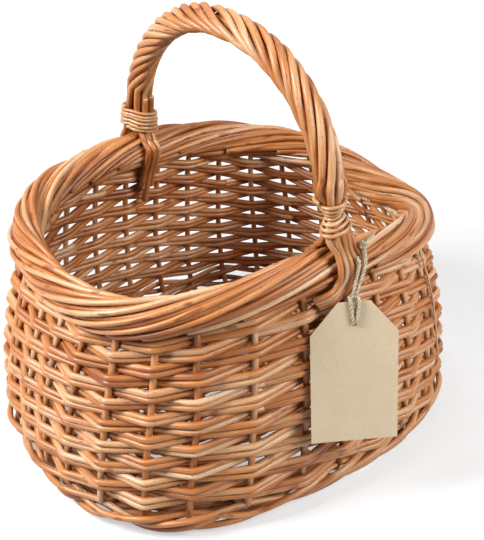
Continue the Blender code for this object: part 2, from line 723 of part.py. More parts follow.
half_neck, half_width, half_thick = TAG_NECK / 2, TAG_WIDTH / 2, TAG_THICK / 2
outline = [(-half_neck, 0.0), (half_neck, 0.0), (half_width, TAG_SHOULDER), (half_width, TAG_LENGTH),
           (-half_width, TAG_LENGTH), (-half_width, TAG_SHOULDER)]
card = bmesh.new()
face = card.faces.new([card.verts.new(on_tag(along, down, half_thick)) for along, down in outline])
back = bmesh.ops.extrude_face_region(card, geom=[face])
for corner in back["geom"]:
    if isinstance(corner, bmesh.types.BMVert):
        corner.co = [value - away * TAG_THICK for value, away in zip(corner.co, tag_front)]
bmesh.ops.recalc_face_normals(card, faces=card.faces[:])
card_mesh = bpy.data.meshes.new("tag")
card.to_mesh(card_mesh)
card.free()
card_mesh.materials.append(kraft)
tag = bpy.data.objects.new("tag", card_mesh)
bpy.context.scene.collection.objects.link(tag)

HOLE_SIDES = 16             # flats of the round hole
punch = rod("tag_hole_punch", [on_tag(0.0, TAG_HOLE_DROP, TAG_THICK * way) for way in (-1, 1)],
            TAG_HOLE_D, kraft, sides=HOLE_SIDES)
punch = as_mesh(punch)
punch.hide_render = True
hole = tag.modifiers.new("hole", "BOOLEAN")
hole.operation = "DIFFERENCE"
hole.solver = "EXACT"
hole.object = punch


# Twine: a loop tied round the fan's last rod, and the two strands that carry the card
TWINE_R = TWINE_D / 2
hang_ends = [hang_point + tag_along * HANG_SPREAD / 2 * way for way in (-1, 1)]
ROUND_END_SHARES = [(0.75, 0.66), (0.4, 0.92), (0.0, 1.0)]  # height and radius of a rounded end
upright = np.array([0.0, 0.0, 1.0])

# Over the card's edge: both strands come down behind it and through the hole, and the bight
# between them lies on its face and passes back over the edge behind the strands
beside = TWINE_R + TWINE_FIT
apart = beside + TWINE_D + TWINE_FIT
proud = half_thick + TWINE_FIT + TWINE_R
above = TWINE_D + 2 * TWINE_FIT
behind = proud + above * math.tan(tag_lean) + TWINE_D + 2 * TWINE_FIT
half_hitch = [
    (beside, -above, -proud - above * math.tan(tag_lean)),
    (beside, TWINE_D, -proud),
    (beside, TAG_HOLE_DROP - TWINE_D, -proud),
    (beside, TAG_HOLE_DROP, -proud * 0.7),
    (beside, TAG_HOLE_DROP + TWINE_FIT, 0.0),
    (beside, TAG_HOLE_DROP, proud * 0.7),
    (beside, TAG_HOLE_DROP - TWINE_D, proud),
    (apart, TWINE_R, proud),
    (apart, -TWINE_R, proud),
    (apart, -above, 0.0),
    (apart, -above, -proud - TWINE_D),
    (beside + TWINE_FIT, -above, -behind),
]
left_side = [on_tag(-along, down, front) for along, down, front in half_hitch]
right_side = [on_tag(along, down, front) for along, down, front in half_hitch]
rounded = [[end + upright * TWINE_R * height for height, size in ROUND_END_SHARES] for end in hang_ends]
hanger_path = rounded[0] + left_side + right_side[::-1] + rounded[1][::-1]
end_sizes = [size for height, size in ROUND_END_SHARES]
hanger_sizes = end_sizes + [1.0] * (2 * len(half_hitch)) + end_sizes[::-1]
rod("twine_hanger", hanger_path, TWINE_D, jute, scales=hanger_sizes, sides=8)

# The loop starts and ends just above the strands
loop_ends = [end + upright * (2 * TWINE_R + TWINE_FIT - TWINE_R) for end in hang_ends]
loop_route = [
    (0.0106, -0.1560, 0.2202),
    (0.0114, -0.1536, 0.2212),
    (0.0122, -0.1505, 0.2206),
    (0.0126, -0.1476, 0.2198),
    (0.0162, -0.1470, 0.2196),
    (0.0201, -0.1474, 0.2209),
    (0.0212, -0.1505, 0.2252),
    (0.0196, -0.1524, 0.2290),
    (0.0184, -0.1528, 0.2302),
    (0.0176, -0.1532, 0.2312),
    (0.0170, -0.1538, 0.2304),
    (0.0167, -0.1546, 0.2288),
    (0.0162, -0.1566, 0.2250),
    (0.0152, -0.1584, 0.2210),
]
KNOT_SHARES = [1.0] * 8 + [0.8, 1.0, 0.8] + [1.0] * 3
knot_sizes = [KNOT_D / TWINE_D * share if 8 <= i <= 10 else share for i, share in enumerate(KNOT_SHARES)]
tied = as_mesh(rod("twine_loop", [loop_ends[0], *loop_route, loop_ends[1]], TWINE_D, jute,
                   scales=[1.0, *knot_sizes, 1.0], sides=8))
tail_route = [(0.0176, -0.1532, 0.2312), (0.0214, -0.1530, 0.2330), (0.0250, -0.1526, 0.2345),
              (0.0285, -0.1524, 0.2362)]
tail = as_mesh(rod("twine_tail", tail_route, TWINE_D, jute, sides=8))
tail.hide_render = True
join = tied.modifiers.new("tail", "BOOLEAN")
join.operation = "UNION"
join.solver = "EXACT"
join.object = tail
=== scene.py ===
import random
from math import acos, asin, atan2, ceil, copysign, cos, floor, hypot, pi, radians, sin, tan

import bmesh
import bpy
import numpy as np
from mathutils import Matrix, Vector


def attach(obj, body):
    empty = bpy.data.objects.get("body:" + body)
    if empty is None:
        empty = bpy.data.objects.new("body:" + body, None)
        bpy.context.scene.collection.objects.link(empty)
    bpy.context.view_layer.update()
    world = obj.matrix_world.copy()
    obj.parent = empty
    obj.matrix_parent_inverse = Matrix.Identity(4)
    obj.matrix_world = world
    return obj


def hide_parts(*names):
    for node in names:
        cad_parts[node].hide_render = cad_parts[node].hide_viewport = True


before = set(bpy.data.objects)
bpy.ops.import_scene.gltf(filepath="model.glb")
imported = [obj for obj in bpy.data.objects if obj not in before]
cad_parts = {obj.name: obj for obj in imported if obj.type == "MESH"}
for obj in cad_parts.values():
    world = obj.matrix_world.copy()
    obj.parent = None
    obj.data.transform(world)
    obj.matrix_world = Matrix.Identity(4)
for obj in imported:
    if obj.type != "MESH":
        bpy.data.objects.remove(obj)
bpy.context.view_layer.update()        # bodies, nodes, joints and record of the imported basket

scene = bpy.context.scene
scene.view_settings.view_transform = "Standard"


def addObject(name, data):
    made = bpy.data.objects.new(name, data)
    scene.collection.objects.link(made)
    return made


def addAimed(name, data, aim, azimuth, elevation, distance):  # it looks at the aim, azimuth 0 along +Y
    turn, lift = radians(azimuth), radians(elevation)
    back = Vector((sin(turn) * cos(lift), -cos(turn) * cos(lift), sin(lift)))
    made = addObject(name, data)
    made.location = Vector(aim) + back * distance
    made.rotation_mode = "QUATERNION"
    made.rotation_quaternion = (-back).to_track_quat("-Z", "Y")
    return made


# Camera at the photograph's angle
camera = {
    "azimuth": -37.31, "elevation": 32.52, "distance": 0.908, "lookAt": (0.012, -0.0075, 0.1357),
    "lens": 66.82, "sensor": 36.0, "clip": (0.01, 60.0),
}


def placeCamera():
    lens = bpy.data.cameras.new("studioCamera")
    lens.lens, lens.sensor_width = camera["lens"], camera["sensor"]
    lens.clip_start, lens.clip_end = camera["clip"]
    scene.camera = addAimed("studioCamera", lens, camera["lookAt"], camera["azimuth"], camera["elevation"],
                            camera["distance"])


placeCamera()
print("camera placed")

# Form of the basket: that of the solids, fitted more closely to the photographed one
basket = {
    "rimLength": 0.368, "rimWidth": 0.298, "ovalPower": 2.65, "spin": -2.4, "bodyHeight": 0.213,
    "rimSaddle": 0.0127, "rimTilt": 0.0055, "bellySwell": 0.0205, "cornerRadius": 0.02, "footReach": 0.029,
    "stakeCount": 31, "stakeThick": 0.0056, "weaverThick": 0.005, "crest": 0.0047, "baseHeight": 0.0082,
    "wallTop": 0.03, "borderHeight": 0.036, "borderWidth": 0.031, "borderTurn": 11, "borderSeat": 0.001,
    "wallRounds": 17, "baseRounds": 2, "baseStart": 0.0062, "fit": 0.0004,
    "waleThick": 0.005, "waleRise": 0.0054, "waleRoom": 0.0018, "stakeLean": 0.42,
    "ovalSteps": 2880, "cornerSteps": 8, "wallSteps": 12,
    "stakeShift": [(0, 0.12), (2, 0.0), (14, 0.0), (15, -0.05), (16, -0.22), (17, -0.3), (18, -0.36),
                   (19, -0.38), (20, -0.42), (21, -0.155), (22, 0.21), (23, 0.3), (24, 0.38), (25, 0.44),
                   (26, 0.46), (27, 0.42), (29, 0.28), (31, 0.12)],
}
halfX, halfY = basket["rimLength"] / 2, basket["rimWidth"] / 2
stakeCount = basket["stakeCount"]
stakeRadius = basket["stakeThick"] / 2
spin = radians(basket["spin"])
shiftStakes, shiftSizes = zip(*basket["stakeShift"])


def unit(way):
    return way / np.linalg.norm(way)


def signedPower(value, power):
    return copysign(abs(value) ** power, value)


def walked(steps):  # distance walked at every point of a line, from the lengths of its steps
    return np.concatenate([[0.0], np.cumsum(steps)])


def walkAlong(points):
    return walked(np.linalg.norm(np.diff(points, axis=0), axis=1))


def ovalAt(angle):  # the oval is turned a little against the handle
    c, s = np.cos(angle - spin), np.sin(angle - spin)
    power = basket["ovalPower"]
    reach = (np.abs(c / halfX) ** power + np.abs(s / halfY) ** power) ** (-1 / power)
    return reach * np.cos(angle), reach * np.sin(angle)


ovalAngles = np.linspace(0.0, 2 * pi, basket["ovalSteps"] + 1)
ovalX, ovalY = ovalAt(ovalAngles)
ovalWalk = walked(np.hypot(np.diff(ovalX), np.diff(ovalY)))
rimGirth = float(ovalWalk[-1])
spacing = rimGirth / stakeCount


def rimFrame(stake):  # place on the rim oval, way out and angle at a stake number
    stake = stake + np.interp(stake % stakeCount, shiftStakes, shiftSizes)
    angle = float(np.interp((stake / stakeCount) % 1.0 * rimGirth, ovalWalk, ovalAngles))
    x, y = ovalAt(angle)
    c, s = cos(spin), sin(spin)
    ownX, ownY = x * c + y * s, y * c - x * s
    power = basket["ovalPower"] - 1
    outX, outY = signedPower(ownX / halfX, power) / halfX, signedPower(ownY / halfY, power) / halfY
    size = hypot(outX, outY)
    return np.array([x, y]), np.array([outX * c - outY * s, outX * s + outY * c]) / size, angle


def rimTop(angle):
    return basket["bodyHeight"] - basket["rimSaddle"] * cos(2 * angle) - basket["rimTilt"] * cos(angle)


def rimBend(stake):
    before, after = rimFrame(stake - 0.5)[1], rimFrame(stake + 0.5)[1]
    return acos(min(1.0, float(before @ after))) / 2


baseHeight, cornerRadius = basket["baseHeight"], basket["cornerRadius"]
bellyOffset = basket["bellySwell"] - basket["crest"] - basket["weaverThick"] / 2
topOffset = -0.5 * basket["wallTop"]
cornerTop = baseHeight + cornerRadius
profiles = {}


def wallProfile(angle):  # the wall's middle line from a stake's tip to the border
    key = round(angle, 5)
    if key not in profiles:
        start = bellyOffset - cornerRadius
        turn = np.linspace(-pi / 2, 0.0, basket["cornerSteps"] + 1)
        rise = np.linspace(0.0, 1.0, basket["wallSteps"] + 1)[1:]
        top = rimTop(angle) - basket["wallTop"]
        offsets = np.concatenate([[start - basket["footReach"]], start + cornerRadius * np.cos(turn),
                                  bellyOffset - (bellyOffset - topOffset) * rise ** 2, [topOffset]])
        heights = np.concatenate([[baseHeight], cornerTop + cornerRadius * np.sin(turn),
                                  cornerTop + (top - cornerTop) * rise, [top + basket["wallTop"] / 2]])
        walk = walked(np.hypot(np.diff(offsets), np.diff(heights)))
        profiles[key] = (walk, offsets, heights, float(walk[-2]))
    return profiles[key]


def wallLength(stake):
    return wallProfile(rimFrame(stake)[2])[3]


def wallPoint(stake, distance, out=0.0):  # a place on the wall, this far up from the stake's tip
    share = min(distance / wallLength(stake), 1.0)
    place, outward, angle = rimFrame(stake + basket["stakeLean"] * (share - 0.5))
    walk, offsets, heights, _ = wallProfile(angle)
    low, high = distance - stakeRadius, distance + stakeRadius
    ahead = np.interp(high, walk, offsets) - np.interp(low, walk, offsets)
    climb = np.interp(high, walk, heights) - np.interp(low, walk, heights)
    lean = atan2(ahead, climb)
    offset = np.interp(distance, walk, offsets) + out * cos(lean)
    height = np.interp(distance, walk, heights) - out * sin(lean)
    return np.array([*(place + outward * offset), height])


meanStake = stakeCount / 8  # here the saddle leaves the rim at its mean height


def rowPitch(stake, start):
    return (wallLength(stake) - start - basket["borderSeat"]) / (basket["wallRounds"] + 1)


waleHalf = basket["waleRise"] + basket["waleThick"] / 2
walePitch = 2 * waleHalf + basket["fit"]
edgeRows = basket["baseRounds"] * 2 * basket["weaverThick"]
rowHeight = rowPitch(meanStake, basket["baseStart"] + walePitch + edgeRows)
waleStart = basket["baseStart"] + (basket["baseRounds"] - 0.5) * rowHeight + basket["fit"] + waleHalf
wallStart = waleStart + waleHalf + basket["waleRoom"]
rowHeight = rowPitch(meanStake, wallStart)


def wallRow(stake):  # distance of a wall row's middle from the stake's tip, and its height
    pitch = rowPitch(stake, wallStart)
    return wallStart + (stake / stakeCount + 0.5) * pitch, pitch


def baseRow(stake):
    return basket["baseStart"] + stake / stakeCount * rowHeight, rowHeight


def smoothLine(points, perSpan):  # a smooth line through the points
    points = [np.array(p, float) for p in points]
    ends = [2 * points[0] - points[1]] + points + [2 * points[-1] - points[-2]]
    line = []
    for i in range(1, len(ends) - 2):
        a, b, c, d = ends[i - 1:i + 3]
        for k in range(perSpan):
            t = k / perSpan
            line.append(0.5 * (2 * b + (c - a) * t + (2 * a - 5 * b + 4 * c - d) * t ** 2
                               + (3 * b - a - 3 * c + d) * t ** 3))
    line.append(points[-1])
    return np.array(line)


def drift(rng, count, every, size):  # slow seeded change along a rod, with a knot at every few points
    knots = [rng.gauss(0.0, size) for _ in range(int(count / every) + 3)]
    values = []
    for i in range(count):
        k, t = divmod(i / every, 1.0)
        t = t * t * (3 - 2 * t)
        values.append(knots[int(k)] * (1 - t) + knots[int(k) + 1] * t)
    return np.array(values)


# Rods: every one is a tapered tube with a tone of its own and grain that follows it. The end steps say
# how far out, as a share of the bevel or of the tip's length, and how thick the rod still is there.
rodForm = {"sides": 10, "cutBevel": 0.00018, "cutSteps": [(1.0, 0.93), (1.2, 0.0)], "tipLength": 0.8,
           "tipSteps": [(0.45, 0.85), (0.85, 0.5), (1.0, 0.0)], "grainShift": 1.37, "merge": 1e-7}


def addRod(rods, points, radii, tone, startEnd="cut", farEnd="cut"):
    points = np.array(points, float)
    radii = np.array(radii, float) * np.ones(len(points))
    rodEnd = np.zeros(len(points))
    for first, kind in ((True, startEnd), (False, farEnd)):
        edge, inner, size = (points[0], points[1], radii[0]) if first else (points[-1], points[-2], radii[-1])
        way = unit(edge - inner)
        reach = rodForm["cutBevel"] if kind == "cut" else size * rodForm["tipLength"]
        steps = rodForm[kind + "Steps"]
        extra = np.array([edge + way * (reach * step) for step, share in steps])
        sizes = np.array([size * share for step, share in steps])
        marks = np.full(len(steps), float(kind == "cut"))
        points, radii, rodEnd = [np.concatenate([new[::-1], old] if first else [old, new])
                                 for new, old in ((extra, points), (sizes, radii), (marks, rodEnd))]
    rods.append((points, radii, rodEnd, tone))


def finalMesh(piece):
    bpy.context.view_layer.update()
    return bpy.data.meshes.new_from_object(piece.evaluated_get(bpy.context.evaluated_depsgraph_get()))


def meshFrom(bm, name):
    mesh = bpy.data.meshes.new(name)
    bm.to_mesh(mesh)
    bm.free()
    return mesh


def dress(piece, body, replaced):
    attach(piece, body)
    if replaced:
        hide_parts(*replaced)


# Material building blocks
def newGroup(name, inputs, outputs):
    tree = bpy.data.node_groups.new(name, "ShaderNodeTree")
    for way, sockets in (("INPUT", inputs), ("OUTPUT", outputs)):
        for label, kind in sockets.items():
            tree.interface.new_socket(label, in_out=way, socket_type="NodeSocket" + kind)
    return tree, tree.nodes.new("NodeGroupInput").outputs, tree.nodes.new("NodeGroupOutput")


def feed(tree, made, inputs):  # links a socket and sets any other value
    for key, value in inputs.items():
        if isinstance(value, bpy.types.NodeSocket):
            tree.links.new(value, made.inputs[key])
        else:
            made.inputs[key].default_value = value


def node(tree, kind, inputs=None, **settings):
    made = tree.nodes.new("ShaderNode" + kind)
    for key, value in settings.items():
        setattr(made, key, value)
    feed(tree, made, inputs or {})
    return made


def mathNode(tree, operation, a, b, clamp=False):
    return node(tree, "Math", {0: a, 1: b}, operation=operation, use_clamp=clamp).outputs[0]


def mixColour(tree, share, a, b):
    return node(tree, "Mix", {0: share, 6: a, 7: b}, data_type="RGBA", clamp_factor=True).outputs[2]


def noise(tree, coord, scales, detail, roughness=0.5):
    place = node(tree, "VectorMath", {0: coord, 1: scales}, operation="MULTIPLY").outputs[0]
    return node(tree, "TexNoise", {"Vector": place, "Scale": 1.0, "Detail": detail,
                                   "Roughness": roughness}).outputs[0]


def spread(tree, value, low, high, toLow=0.0, toHigh=1.0):
    return node(tree, "MapRange", {0: value, 1: low, 2: high, 3: toLow, 4: toHigh}, clamp=True).outputs[0]


def newMaterial(name):
    made = bpy.data.materials.new(name)
    made.use_nodes = True
    tree = made.node_tree
    tree.nodes.clear()
    shader = node(tree, "BsdfPrincipled")
    node(tree, "OutputMaterial", {0: shader.outputs[0]})
    return made, tree, shader


def bumped(tree, height, strength, depth):
    return node(tree, "Bump", {"Strength": strength, "Distance": depth, "Height": height}).outputs[0]


def attribute(tree, name):
    return node(tree, "Attribute", attribute_name=name).outputs["Vector"]


# Grain of the willow: scales of each noise along and across a rod, its detail and roughness, then what
# range of it counts and how much that range changes
grainLook = {
    "patches": ((9.0, 60.0, 60.0), 2.0), "patchTone": (0.32, 0.68, -0.28, 0.28),
    "streaks": ((40.0, 700.0, 700.0), 3.0, 0.6), "streakTone": (0.3, 0.7, -0.16, 0.16),
    "streakGloss": (0.3, 0.7, -0.06, 0.1), "streakHeight": 0.7,
    "fine": ((260.0, 2600.0, 2600.0), 2.0, 0.6), "fineGloss": (0.3, 0.7, -0.04, 0.06), "fineHeight": 0.3,
    "specks": ((520.0, 900.0, 900.0), 0.0), "speckMask": (0.74, 0.8, 0.0, 0.8),
    "speckColour": (0.1, 0.045, 0.02, 1),
    "scars": ((75.0, 190.0, 190.0), 0.0), "scarMask": (0.73, 0.8, 0.0, 0.75), "scarDepth": 0.5,
}


def willowGroup():
    inputs = {"Coord": "Vector", "Tone": "Float", "Cut": "Float", "Pale": "Color", "Middle": "Color",
              "Brown": "Color", "Wood": "Color", "Gloss": "Float"}
    outputs = {"Color": "Color", "Roughness": "Float", "Height": "Float"}
    tree, given, put = newGroup("willowGrain", inputs, outputs)
    names = ("patches", "streaks", "fine", "specks", "scars")
    patches, streaks, fine, specks, scars = [noise(tree, given["Coord"], *grainLook[name]) for name in names]
    level = mathNode(tree, "ADD", spread(tree, patches, *grainLook["patchTone"]), given["Tone"])
    level = mathNode(tree, "ADD", level, spread(tree, streaks, *grainLook["streakTone"]), clamp=True)
    low = mixColour(tree, spread(tree, level, 0.0, 0.5), given["Brown"], given["Middle"])
    bark = mixColour(tree, spread(tree, level, 0.5, 1.0), low, given["Pale"])
    scarMask = spread(tree, scars, *grainLook["scarMask"])
    bark = mixColour(tree, scarMask, bark, given["Brown"])
    bark = mixColour(tree, spread(tree, specks, *grainLook["speckMask"]), bark, grainLook["speckColour"])
    colour = mixColour(tree, given["Cut"], bark, given["Wood"])
    rough = mathNode(tree, "ADD", given["Gloss"], spread(tree, streaks, *grainLook["streakGloss"]))
    rough = mathNode(tree, "ADD", rough, spread(tree, fine, *grainLook["fineGloss"]), clamp=True)
    height = mathNode(tree, "ADD", mathNode(tree, "MULTIPLY", streaks, grainLook["streakHeight"]),
                      mathNode(tree, "MULTIPLY", fine, grainLook["fineHeight"]))
    height = mathNode(tree, "SUBTRACT", height, mathNode(tree, "MULTIPLY", scarMask, grainLook["scarDepth"]))
    feed(tree, put, {"Color": colour, "Roughness": rough, "Height": height})
    return tree


def willowMaterial(name, look):
    made, tree, shader = newMaterial(name)
    shade = node(tree, "SeparateXYZ", {0: attribute(tree, "rodShade")}).outputs
    grain = node(tree, "Group", node_tree=willowTree)
    feed(tree, grain, {"Coord": attribute(tree, "rodCoord"), "Tone": shade[0], "Cut": shade[1]})
    feed(tree, grain, {label: look[label] for label in ("Pale", "Middle", "Brown", "Wood", "Gloss")})
    colour, roughness, height = grain.outputs
    feed(tree, shader, {"Base Color": colour, "Roughness": roughness, "Specular IOR Level": look["specular"],
                        "Coat Weight": look["coat"], "Coat Roughness": look["coatRoughness"],
                        "Normal": bumped(tree, height, *look["bump"])})
    return made


willowTree = willowGroup()
willowLook = {
    "Pale": (0.63, 0.42, 0.25, 1), "Middle": (0.44, 0.165, 0.042, 1), "Brown": (0.2, 0.038, 0.004, 1),
    "Wood": (0.64, 0.43, 0.25, 1), "Gloss": 0.38, "bump": (0.5, 0.0004), "specular": 0.38,
    "coat": 0.2, "coatRoughness": 0.32,
}
lashLook = dict(willowLook, Pale=(0.56, 0.33, 0.16, 1), Middle=(0.42, 0.19, 0.065, 1), Gloss=0.3, coat=0.5)
willow = willowMaterial("peeledWillow", willowLook)
lashWillow = willowMaterial("polishedWillow", lashLook)
# Each layer: scales of its noise, detail, roughness, what range of it counts, and its colour. The layer
# that grain names makes the relief too.
twineLook = {
    "base": (0.27, 0.2, 0.12, 1), "grain": 0, "roughness": 0.92, "specular": 0.25, "bump": (0.9, 0.0004),
    "layers": [((350.0, 3200.0, 3200.0), 3.0, 0.6, (0.35, 0.65), (0.72, 0.64, 0.49, 1)),
               ((160.0, 400.0, 400.0), 1.0, 0.5, (0.4, 0.7, 0.0, 0.5), (0.5, 0.42, 0.29, 1))],
}
cardLook = {
    "base": (0.575, 0.465, 0.315, 1), "grain": 1, "roughness": (0.3, 0.7, 0.82, 0.95), "specular": 0.3,
    "bump": (0.35, 0.00025),
    "layers": [((55.0, 55.0, 55.0), 4.0, 0.6, (0.3, 0.7, 0.0, 0.7), (0.64, 0.53, 0.375, 1)),
               ((900.0, 900.0, 260.0), 4.0, 0.7, (0.35, 0.7, 0.0, 0.45), (0.46, 0.355, 0.235, 1)),
               ((2300.0, 2300.0, 900.0), 1.0, 0.5, (0.7, 0.78, 0.0, 0.5), (0.42, 0.28, 0.15, 1)),
               ((700.0, 700.0, 1900.0), 1.0, 0.5, (0.7, 0.8, 0.0, 0.5), (0.64, 0.53, 0.375, 1))],
}


def layeredMaterial(name, place, look):
    made, tree, shader = newMaterial(name)
    coord, colour, noises = place(tree), look["base"], []
    for scales, detail, roughness, mask, over in look["layers"]:
        noises.append(noise(tree, coord, scales, detail, roughness))
        colour = mixColour(tree, spread(tree, noises[-1], *mask), colour, over)
    grain, rough = noises[look["grain"]], look["roughness"]
    if isinstance(rough, tuple):
        rough = spread(tree, grain, *rough)
    feed(tree, shader, {"Base Color": colour, "Roughness": rough, "Specular IOR Level": look["specular"],
                        "Normal": bumped(tree, grain, *look["bump"])})
    return made


jute = layeredMaterial("juteTwine", lambda tree: attribute(tree, "rodCoord"), twineLook)
card = layeredMaterial("kraftCard", lambda tree: node(tree, "TexCoord").outputs["Object"], cardLook)
print("materials ready")


def makeRods(name, rods, replaced=(), material=willow, body="basket",
             sides=rodForm["sides"]):
    line = bpy.data.curves.new(name, "CURVE")
    line.dimensions = "3D"
    line.bevel_depth = 1.0
    line.bevel_resolution = (sides - 4) // 2
    line.resolution_u = 1
    line.render_resolution_u = 0
    line.twist_mode = "MINIMUM"
    coords, shades = [], []
    ring = 2 * pi * np.arange(sides) / sides
    for number, (points, radii, rodEnd, tone) in enumerate(rods):
        spline = line.splines.new("POLY")
        spline.points.add(len(points) - 1)
        spline.points.foreach_set("co", np.column_stack([points, np.ones(len(points))]).ravel())
        spline.points.foreach_set("radius", radii)
        spline.use_smooth = True
        across = np.median(radii)
        coord = np.zeros((len(points), sides, 3))
        coord[:, :, 0] = walkAlong(points)[:, None] + number * rodForm["grainShift"]
        coord[:, :, 1] = np.cos(ring)[None, :] * across
        coord[:, :, 2] = np.sin(ring)[None, :] * across
        coords.append(coord.reshape(-1, 3))
        shade = np.zeros((len(points), sides, 3))
        shade[:, :, 0] = tone
        shade[:, :, 1] = rodEnd[:, None]
        shades.append(shade.reshape(-1, 3))
    tube = addObject(name + "Line", line)
    mesh = finalMesh(tube)
    bpy.data.objects.remove(tube, do_unlink=True)
    bpy.data.curves.remove(line)
    for label, values in (("rodCoord", coords), ("rodShade", shades)):
        layer = mesh.attributes.new(label, "FLOAT_VECTOR", "POINT")
        layer.data.foreach_set("vector", np.concatenate(values).ravel())
    bm = bmesh.new()
    bm.from_mesh(mesh)
    bmesh.ops.remove_doubles(bm, verts=bm.verts[:], dist=rodForm["merge"])
    bmesh.ops.recalc_face_normals(bm, faces=bm.faces[:])
    bm.to_mesh(mesh)
    bm.free()
    mesh.name = name
    mesh.materials.clear()
    mesh.materials.append(material)
    piece = addObject(name, mesh)
    dress(piece, body, replaced)
    return piece


# Places of the bow handle: side, out and up as seen from outside a foot
handle = {
    "top": 0.3705, "span": 0.274, "foot": 0.0055, "coreThick": 0.01, "cadRodThick": 0.0053,
    "ropeRods": 8, "rodThick": 0.006, "ropeRadius": 0.0092, "turns": 2.5, "fit": 0.0005,
    "coreDepth": 0.075, "ropeDepth": 0.028, "splayTop": 0.046, "splayBottom": 0.0085, "splayIn": 0.0055,
    "fanRods": 5, "fanPitch": 0.0061, "fanSide": 0.0024, "borderSag": 0.0008, "roundStep": 35.0,
    "archDrop": 0.0048, "archLean": 0.007, "leanFrom": 0.25, "archPower": 2.16, "overWidth": 0.0245,
    "overHeight": 0.03,
}
handleEdge = rimTop(pi / 2)
archStart = handleEdge + handle["foot"]
archHalf = handle["span"] / 2
archRise = handle["top"] - handle["archDrop"] - archStart
sectionOut = halfY - handle["overWidth"] / 2
sectionUp = handleEdge - handle["overHeight"] / 2
splayLevel = handleEdge + handle["splayBottom"]
openTurn = asin(((handle["splayTop"] - handle["foot"]) / archRise) ** (handle["archPower"] / 2))


def toWorld(place, near):
    side, out, up = place
    return np.array([side, -out, up]) if near else np.array([-side, out, up])


def roundBorder(degrees, gap, step=handle["roundStep"]):
    room = cos(radians(step) / 2)
    turn = radians(degrees)
    return (sectionOut + ((handle["overWidth"] / 2 + gap) / room - handle["borderSag"]) * cos(turn),
            sectionUp + ((handle["overHeight"] / 2 + gap) / room - handle["borderSag"]) * sin(turn))


def wallOut(up, gap, sign):
    _, offsets, heights, _ = wallProfile(pi / 2)
    proud = basket["crest"] + basket["weaverThick"] / 2 + gap
    return halfY + np.interp(up, heights, offsets) + sign * proud


# Twine first: a loop tied round the fan's last rod, and the two strands that carry the card
twine = {
    "thick": 0.0018, "fit": 0.0004, "room": 0.0033, "spread": 0.0016, "hangSpread": 0.0048, "hangTurn": 15.0,
    "ply": 0.00078, "plyApart": 0.85, "plyPitch": 0.0068, "plyStep": 0.0006, "fewestSteps": 8,
    "plyGuide": (0.31, 0.52, 0.79), "holeBend": 0.7, "tone": 0.5, "samples": 4, "sides": 8,
    "loopRoute": [(0.0106, -0.156, 0.2202), (0.0114, -0.1536, 0.2212), (0.0122, -0.1505, 0.2206),
                  (0.0126, -0.1476, 0.2198), (0.0162, -0.147, 0.2196), (0.0201, -0.1474, 0.2209),
                  (0.0212, -0.1505, 0.2252), (0.0196, -0.1524, 0.229), (0.0184, -0.1528, 0.2302),
                  (0.0176, -0.1532, 0.2312), (0.017, -0.1538, 0.2304), (0.0167, -0.1546, 0.2288),
                  (0.0162, -0.1566, 0.225), (0.0152, -0.1584, 0.221)],
    "knotMiddle": (0.0176, -0.1532, 0.2312), "knotAxis": (0.35, -0.25, 0.9), "knotTurns": 2.4,
    "knotRadius": 0.0023, "knotSteps": 39, "knotRise": 0.9,
    "tailRoute": [(0.019, -0.1532, 0.2318), (0.0214, -0.153, 0.233), (0.025, -0.1526, 0.2345),
                  (0.0285, -0.1524, 0.2362)],
}
tagForm = {"width": 0.07, "length": 0.117, "thick": 0.0009, "neck": 0.026, "shoulder": 0.0257,
           "hole": 0.006, "holeDrop": 0.017, "turn": -30.0, "lean": 15.0, "side": -0.0072,
           "stand": 0.01, "drop": 0.027}
upright = np.array([0.0, 0.0, 1.0])
tagTurn, tagLean = radians(tagForm["turn"]), radians(tagForm["lean"])
tagAlong = np.array([cos(tagTurn), sin(tagTurn), 0.0])
tagAway = np.array([sin(tagTurn), -cos(tagTurn), 0.0])
tagDown = tagAway * sin(tagLean) - upright * cos(tagLean)
tagFront = tagAway * cos(tagLean) + upright * sin(tagLean)
hangSide = handle["fanSide"] + (handle["fanRods"] // 2 - 0.5) * handle["fanPitch"] + twine["spread"] / 2
hangGap = twine["room"] + handle["cadRodThick"] + handle["fit"] + twine["fit"] + twine["thick"] / 2
hangPoint = toWorld((hangSide, *roundBorder(twine["hangTurn"], hangGap)), True)
tagTop = hangPoint + tagAlong * tagForm["side"] + tagAway * tagForm["stand"] - upright * tagForm["drop"]


def onTag(along, down, front):
    return tagTop + tagAlong * along + tagDown * down + tagFront * front


def plyTwine(name, line, body, replaced=(), farEnd="tip"):
    line = np.array(line)
    walk = walkAlong(line)
    steps = max(twine["fewestSteps"], int(walk[-1] / twine["plyStep"]))
    even = np.linspace(0.0, walk[-1], steps + 1)
    path = np.column_stack([np.interp(even, walk, line[:, k]) for k in range(3)])
    side = None
    plies = [[], []]
    for i in range(len(path)):
        way = unit(path[min(i + 1, len(path) - 1)] - path[max(i - 1, 0)])
        if side is None:
            side = np.cross(way, twine["plyGuide"])
        side = unit(side - way * (side @ way))
        other = np.cross(way, side)
        for ply in range(2):
            angle = 2 * pi * even[i] / twine["plyPitch"] + pi * ply
            around = side * cos(angle) + other * sin(angle)
            plies[ply].append(path[i] + around * twine["ply"] * twine["plyApart"])
    rods = []
    for ply in range(2):
        addRod(rods, plies[ply], twine["ply"], twine["tone"], "tip", farEnd)
    piece = makeRods(name, rods, replaced, jute, body, twine["sides"])
    return piece, path, float(walk[-1])


